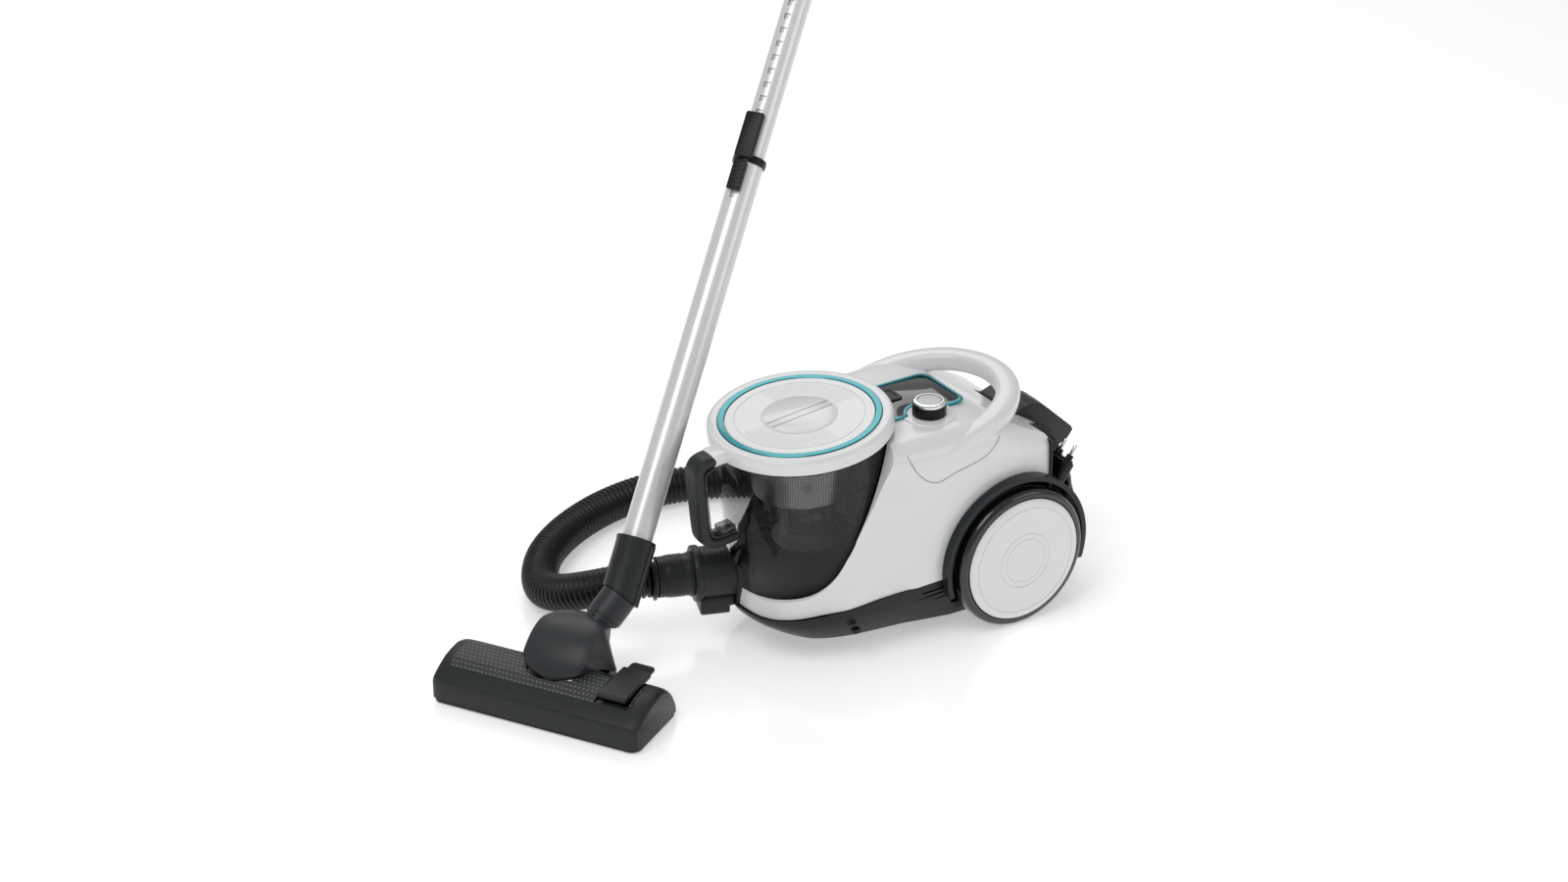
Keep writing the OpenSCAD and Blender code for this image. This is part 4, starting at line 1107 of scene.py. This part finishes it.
def hose_cuff():
    profile = [(18, -30), (24.1, -30), (24.1, 0.3), (25.6, 0.6), (25.8, 3.6), (24.6, 4.6),
               (24.2, 8)]
    for i in range(5):
        z = 11 + i * 3.4
        profile += [(24.2, z), (24.7, z + 0.4), (24.7, z + 1.6), (24.2, z + 2.0)]
    profile += [(24.1, 30), (23.6, 31), (23.4, 46), (22.4, 47), (18, 47)]
    cuff = spun(profile, 96, closed=True)
    arcs = []
    for i in range(4):
        for a in (0, 120, 240):
            ring = spun([(22.6, 32.4 + i * 3.7), (26, 32.4 + i * 3.7), (26, 34.2 + i * 3.7),
                         (22.6, 34.2 + i * 3.7)], 72, closed=True)
            arcs.append(moved(cut(ring, block(-40, -40, 0, 40, 6, 60)),
                              turn(a + 50 * (i % 2), "Z")))
    piece("hose_cuff_sleeve", cut(cuff, *arcs), INLET, "canister", ANTHRACITE, ("hose_cuff",),
          sharp=35)


hose_cuff()


# ------------------------------------------------------------------ floor head

SIDE_LINE = [(0, 6), (0, 28), (1.6, 31.6), (8, 36), (18, 40.8), (31, 46), (45, 48.2), (60, 49),
             (71, 46), (80, 40), (86, 33.5), (91, 25.5), (95, 17), (97, 11), (97, 6)]


def head_ring(y, draw):
    """The floor head's side outline at y, drawn in near its ends."""
    return [(48.5 + (x - 48.5) * (1 - draw * 0.5), y, 6 + (z - 6) * (1 - draw * 0.4))
            for x, z in SIDE_LINE]


def head_body():
    ends = [(128.5, 0.26), (127.2, 0.15), (124, 0.07), (119, 0.02), (112, 0.0)]
    stations = [(-y, d) for y, d in ends] + [(-y, d) for y, d in
                                            ((40, 0.0), (0, 0.0), (-40, 0.0))] \
        + [(y, d) for y, d in reversed(ends)]
    shell = loft([head_ring(y, d) for y, d in stations])
    inner = loft([[(48.5 + (x - 48.5) * 0.93, y, (z - 3) if z > 7 else 3) for x, _, z in
                   head_ring(y, 0)] for y in (-122, 122)])
    gap = pad(31, -35.5, 150, 35.5, 28)
    hood_gap = slab(gap, 3, 90)
    pocket = block(20, -106, 41, 106, -66, 80)
    ears = []
    for s in (1, -1):
        ears.append(rod(12, (97, s * 35.5, 22), (97, s * 46, 22), 64))
    groove = panel_loft(19.4, -109, 62.6, 116.4, 0.9, -1.2)
    shell = cut(shell, inner, hood_gap, pocket, groove)
    front_step = block(-2, -140, 30.2, 0.5, 140, 31.0)
    shell = cut(merged(shell, *ears), front_step, rod(5.1, (97, -60, 22), (97, 60, 22), 48))
    well = cut(slab(pad(29.4, -37, 100, 37, 29), 7, 38), slab(gap, 3, 90),
               block(86, -60, 0, 120, 60, 60))
    floor_plate = slab(pad(31, -36, 84, 36, 28), 7, 9)
    piece("head_hinge_well", joined(well, floor_plate), HEAD, "floor_head", CHASSIS)
    piece("head_shell", shell, HEAD, "floor_head", ANTHRACITE, ("head_body",), sharp=26)


def panel_loft(x0, y0, x1, y1, up, down):
    """A rounded field that follows the head's top, from down to up of its surface."""
    flat = pad(x0, y0, x1, y1, 9, 8)
    line = [(a, b) for a, b in SIDE_LINE[4:10]]
    dense = []
    for (ax, ay), (bx, by) in zip(flat, flat[1:] + flat[:1]):
        n = max(1, int(math.hypot(bx - ax, by - ay) / 5))
        dense += [(ax + (bx - ax) * k / n, ay + (by - ay) * k / n) for k in range(n)]
    low = [(x, y, along(line, x) + down) for x, y in dense]
    high = [(x, y, along(line, x) + up) for x, y in dense]
    return loft([low, high])


def textured_panel():
    """The dimpled field on top, as a grid that follows the head."""
    flat = [(x, z) for x, z in SIDE_LINE[4:10]]
    rows = [18.6 + i * (63.4 - 18.6) / 24 for i in range(25)]
    bm = bmesh.new()
    bmesh.ops.create_grid(bm, x_segments=24, y_segments=60, size=1)
    for v in bm.verts:
        x = 41 + v.co.x * 22.4
        y = 3.7 + v.co.y * 111.8
        out = max(0.0, abs(v.co.x) - 0.62) / 0.38
        end = 111.8 - 8 * (1 - math.sqrt(max(0.0, 1 - min(1, out) ** 2)))
        y = 3.7 + v.co.y * end
        v.co = (x, y, along(flat, x) + 0.5)
    bmesh.ops.solidify(bm, geom=bm.faces[:] + bm.edges[:] + bm.verts[:], thickness=1.4)
    outward(bm)
    made = cut(bm, slab(pad(30.6, -35.9, 150, 35.9, 28), 3, 90), block(19.6, -106.4, 41, 107, -65.6, 80))
    piece("head_dimpled_panel", made, HEAD, "floor_head", DIMPLED, ("top_panel",), sharp=26)
    return rows


head_body()
textured_panel()


def head_pedal():
    plate = slab([(x, y) for x, y in pad(22, -103.5, 84, -68.5, 3)], 47.2, 52.6, 1.2, 3)
    back = slab(pad(80, -100.5, 100, -71.5, 5), 46, 50.5, 1.6, 3)
    ridge = [rod(1.4, (86 + i * 4.2, -98, 50.4), (86 + i * 4.2, -74, 50.4), 12) for i in range(3)]
    line = block(24.5, -101, 52.2, 25.3, -71, 53)
    made = cut(merged(plate, back, *ridge), line)
    arch = spun([(4.6, -7), (8.4, -7), (8.4, 7), (4.6, 7)], 48, closed=True)
    moved(arch, shift(92, -66, 47.6) @ turn(90, "X"))
    piece("head_pedal_plate", made, HEAD, "head_pedal", ANTHRACITE, ("head_pedal",), sharp=30)
    arch.free()


head_pedal()


def hood():
    """The shield over the neck's hinge: a broad curved face with two falling sides."""
    loops = []
    steps = 30
    for i in range(steps + 1):
        a = math.radians(161 - 110 * i / steps)
        share = i / steps
        tongue = math.sin(min(1.0, share / 0.2) * math.pi / 2) ** 0.6
        half = (8 + 30 * tongue) * (1 - 0.32 * ease((share - 0.55) / 0.45))
        drop = 10 + 34 * ease(share / 0.5)
        spread = 3 + 13 * ease((share - 0.15) / 0.5) * (1 - 0.5 * ease((share - 0.7) / 0.3))

        def at(radius, y):
            return (97 + radius * math.cos(a), y, 22 + radius * math.sin(a))
        face = [at(66 - 3.2 * (v / 6) ** 2 - 1.6 * (abs(v) == 6), half * v / 6)
                for v in range(-6, 7)]
        left = [at(66 - 7 - drop * k / 4, half + spread * (k / 4) ** 0.8) for k in range(1, 5)]
        right = [(x, -y, z) for x, y, z in reversed(left)]
        inner_r = 60.5
        inside = [at(inner_r - drop * 0.9, half * 0.9 + spread * 0.8),
                  at(inner_r - 3, half * 0.82), at(inner_r, 0), at(inner_r - 3, -half * 0.82),
                  at(inner_r - drop * 0.9, -half * 0.9 - spread * 0.8)]
        loops.append(right + face + left + inside)
    shield = loft(loops)
    pins = [rod(5, (97, -41, 22), (97, 41, 22), 48)]
    cheeks = [rod(12, (97, s * 31, 22), (97, s * 34, 22), 64) for s in (1, -1)]
    neck = spun([(14.6, -4), (19, -4), (19, 3), (20.3, 3.5), (20.3, 6), (18.6, 6.4), (18.6, 8.4),
                 (20.2, 8.8), (20.2, 11.2), (18.6, 11.6), (18.6, 13.6), (20.1, 14),
                 (20.1, 16.4), (18.6, 16.8), (18.6, 18.8), (20, 19.2), (20, 21.4),
                 (18.8, 21.8), (18.8, 24), (20.4, 24.6), (20.6, 45), (20.2, 53), (14.6, 53)],
                96, closed=True)
    web = block(-20.6, -3, 2, -17, 3, 25, 0.6)
    stem = moved(merged(neck, web), HEAD.inverted() @ NECK)
    trimmed = cut(stem, rod(56, (97, -60, 22), (97, 60, 22), 96))
    piece("neck_hood_shield", joined(shield, trimmed, *pins, *cheeks), HEAD, "neck", HOOD_GREY,
          ("neck_hood",), sharp=34)


hood()


# ------------------------------------------------------------------ wand

def wand():
    sleeve = spun([(17.7, -30), (21.2, -30), (21.6, 0), (21.9, 60), (22.6, 63), (22.6, 65.4),
                   (22, 66), (17.7, 66)], 96, closed=True)
    ridge = block(-3, -24.6, -16, 3, -20, 62, 1)
    below = moved(rod(60, (0, 0, -46.3), (0, 0, 53.9), 48), WAND.inverted() @ NECK)
    floor_disc = spun([(0, 2), (18, 2), (18, 14), (13, 14), (13, 4), (0, 4)], 64)
    floor_disc.free()
    piece("wand_sleeve_shell", cut(merged(sleeve, ridge), below), WAND, "wand", ANTHRACITE,
          ("wand_sleeve",), sharp=35)
    collar_z = 517.2
    frame_box = slab(pad(-11, -52, 11, 3, 3), 0, 7.5, 1.6, 3)
    moved(frame_box, shift(-16.4, 0, collar_z) @ turn(-90, "Y") @ turn(90, "Z"))
    hollow = rod(17.56, (0, 0, 400), (0, 0, collar_z + 0.1), 96)
    rim = spun([(15.9, collar_z - 6), (19.1, collar_z - 6), (19.5, collar_z - 4.4),
                (19.5, collar_z + 1.4), (18.6, collar_z + 3), (15.9, collar_z + 3)], 96,
               closed=True)
    window = block(-40, -8.4, collar_z - 48, -12, 8.4, collar_z - 6)
    bore = rod(15.8, (0, 0, 400), (0, 0, collar_z + 20), 96)
    piece("tube_lock_collar", cut(merged(frame_box, rim), hollow, bore, window), WAND, "wand",
          KNOB, ("tube_collar",), sharp=35)
    key = block(-25.4, -8, collar_z - 42, -18.1, 8, collar_z - 8, 1.2)
    teeth = [rod(0.9, (-25.2, -7, collar_z - 39 + i * 5), (-25.2, 7, collar_z - 39 + i * 5), 10)
             for i in range(6)]
    piece("tube_lock_key", cut(merged(key, *teeth), rod(17.9, (0, 0, 400), (0, 0, 600), 96)),
          WAND, "tube_latch", KNOB, ("tube_latch",), sharp=35)
    strip = spun([(12.6, 530), (13.4, 530), (13.4, 750), (12.6, 750)], 48, closed=True)
    strip = cut(strip, block(-2, -30, 500, 30, 30, 800))
    piece("tube_rack_backing", strip, WAND, "upper_wand", TUBE)


wand()


# ------------------------------------------------------------------ studio

def studio():
    """A pale floor, a white surround and soft lights."""
    bm = bmesh.new()
    bmesh.ops.create_grid(bm, x_segments=1, y_segments=1, size=14)
    mesh = bpy.data.meshes.new("floor")
    bm.to_mesh(mesh)
    bm.free()
    floor = bpy.data.objects.new("floor", mesh)
    bpy.context.scene.collection.objects.link(floor)
    f = Finish("floor_white", Roughness=0.16, Emission_Color=(1, 1, 1, 1),
               Emission_Strength=0.4)
    f.set(Base_Color=f.tint(f.noise(1.5, 2), rgb(0.93, 0.93, 0.93), rgb(0.95, 0.95, 0.95)))
    mesh.materials.append(f.material)
    world = bpy.data.worlds.new("studio")
    bpy.context.scene.world = world
    world.use_nodes = True
    background = world.node_tree.nodes["Background"]
    background.inputs[0].default_value = (1, 1, 1, 1)
    background.inputs[1].default_value = 0.42
    bpy.context.scene.view_settings.view_transform = "Standard"
    lights = [("key", (-1.5, -0.6, 2.6), 1.5, 24), ("fill", (1.8, -2.2, 1.4), 1.4, 8),
              ("back", (0.9, 2.0, 2.4), 2.0, 20)]
    for name, spot, size, power in lights:
        data = bpy.data.lights.new(name, "AREA")
        data.energy = power
        data.size = size
        lamp = bpy.data.objects.new(name, data)
        bpy.context.scene.collection.objects.link(lamp)
        lamp.location = spot
        lamp.rotation_euler = (Vector((0, 0, 0.1)) - lamp.location).to_track_quat(
            "-Z", "Y").to_euler()


studio()
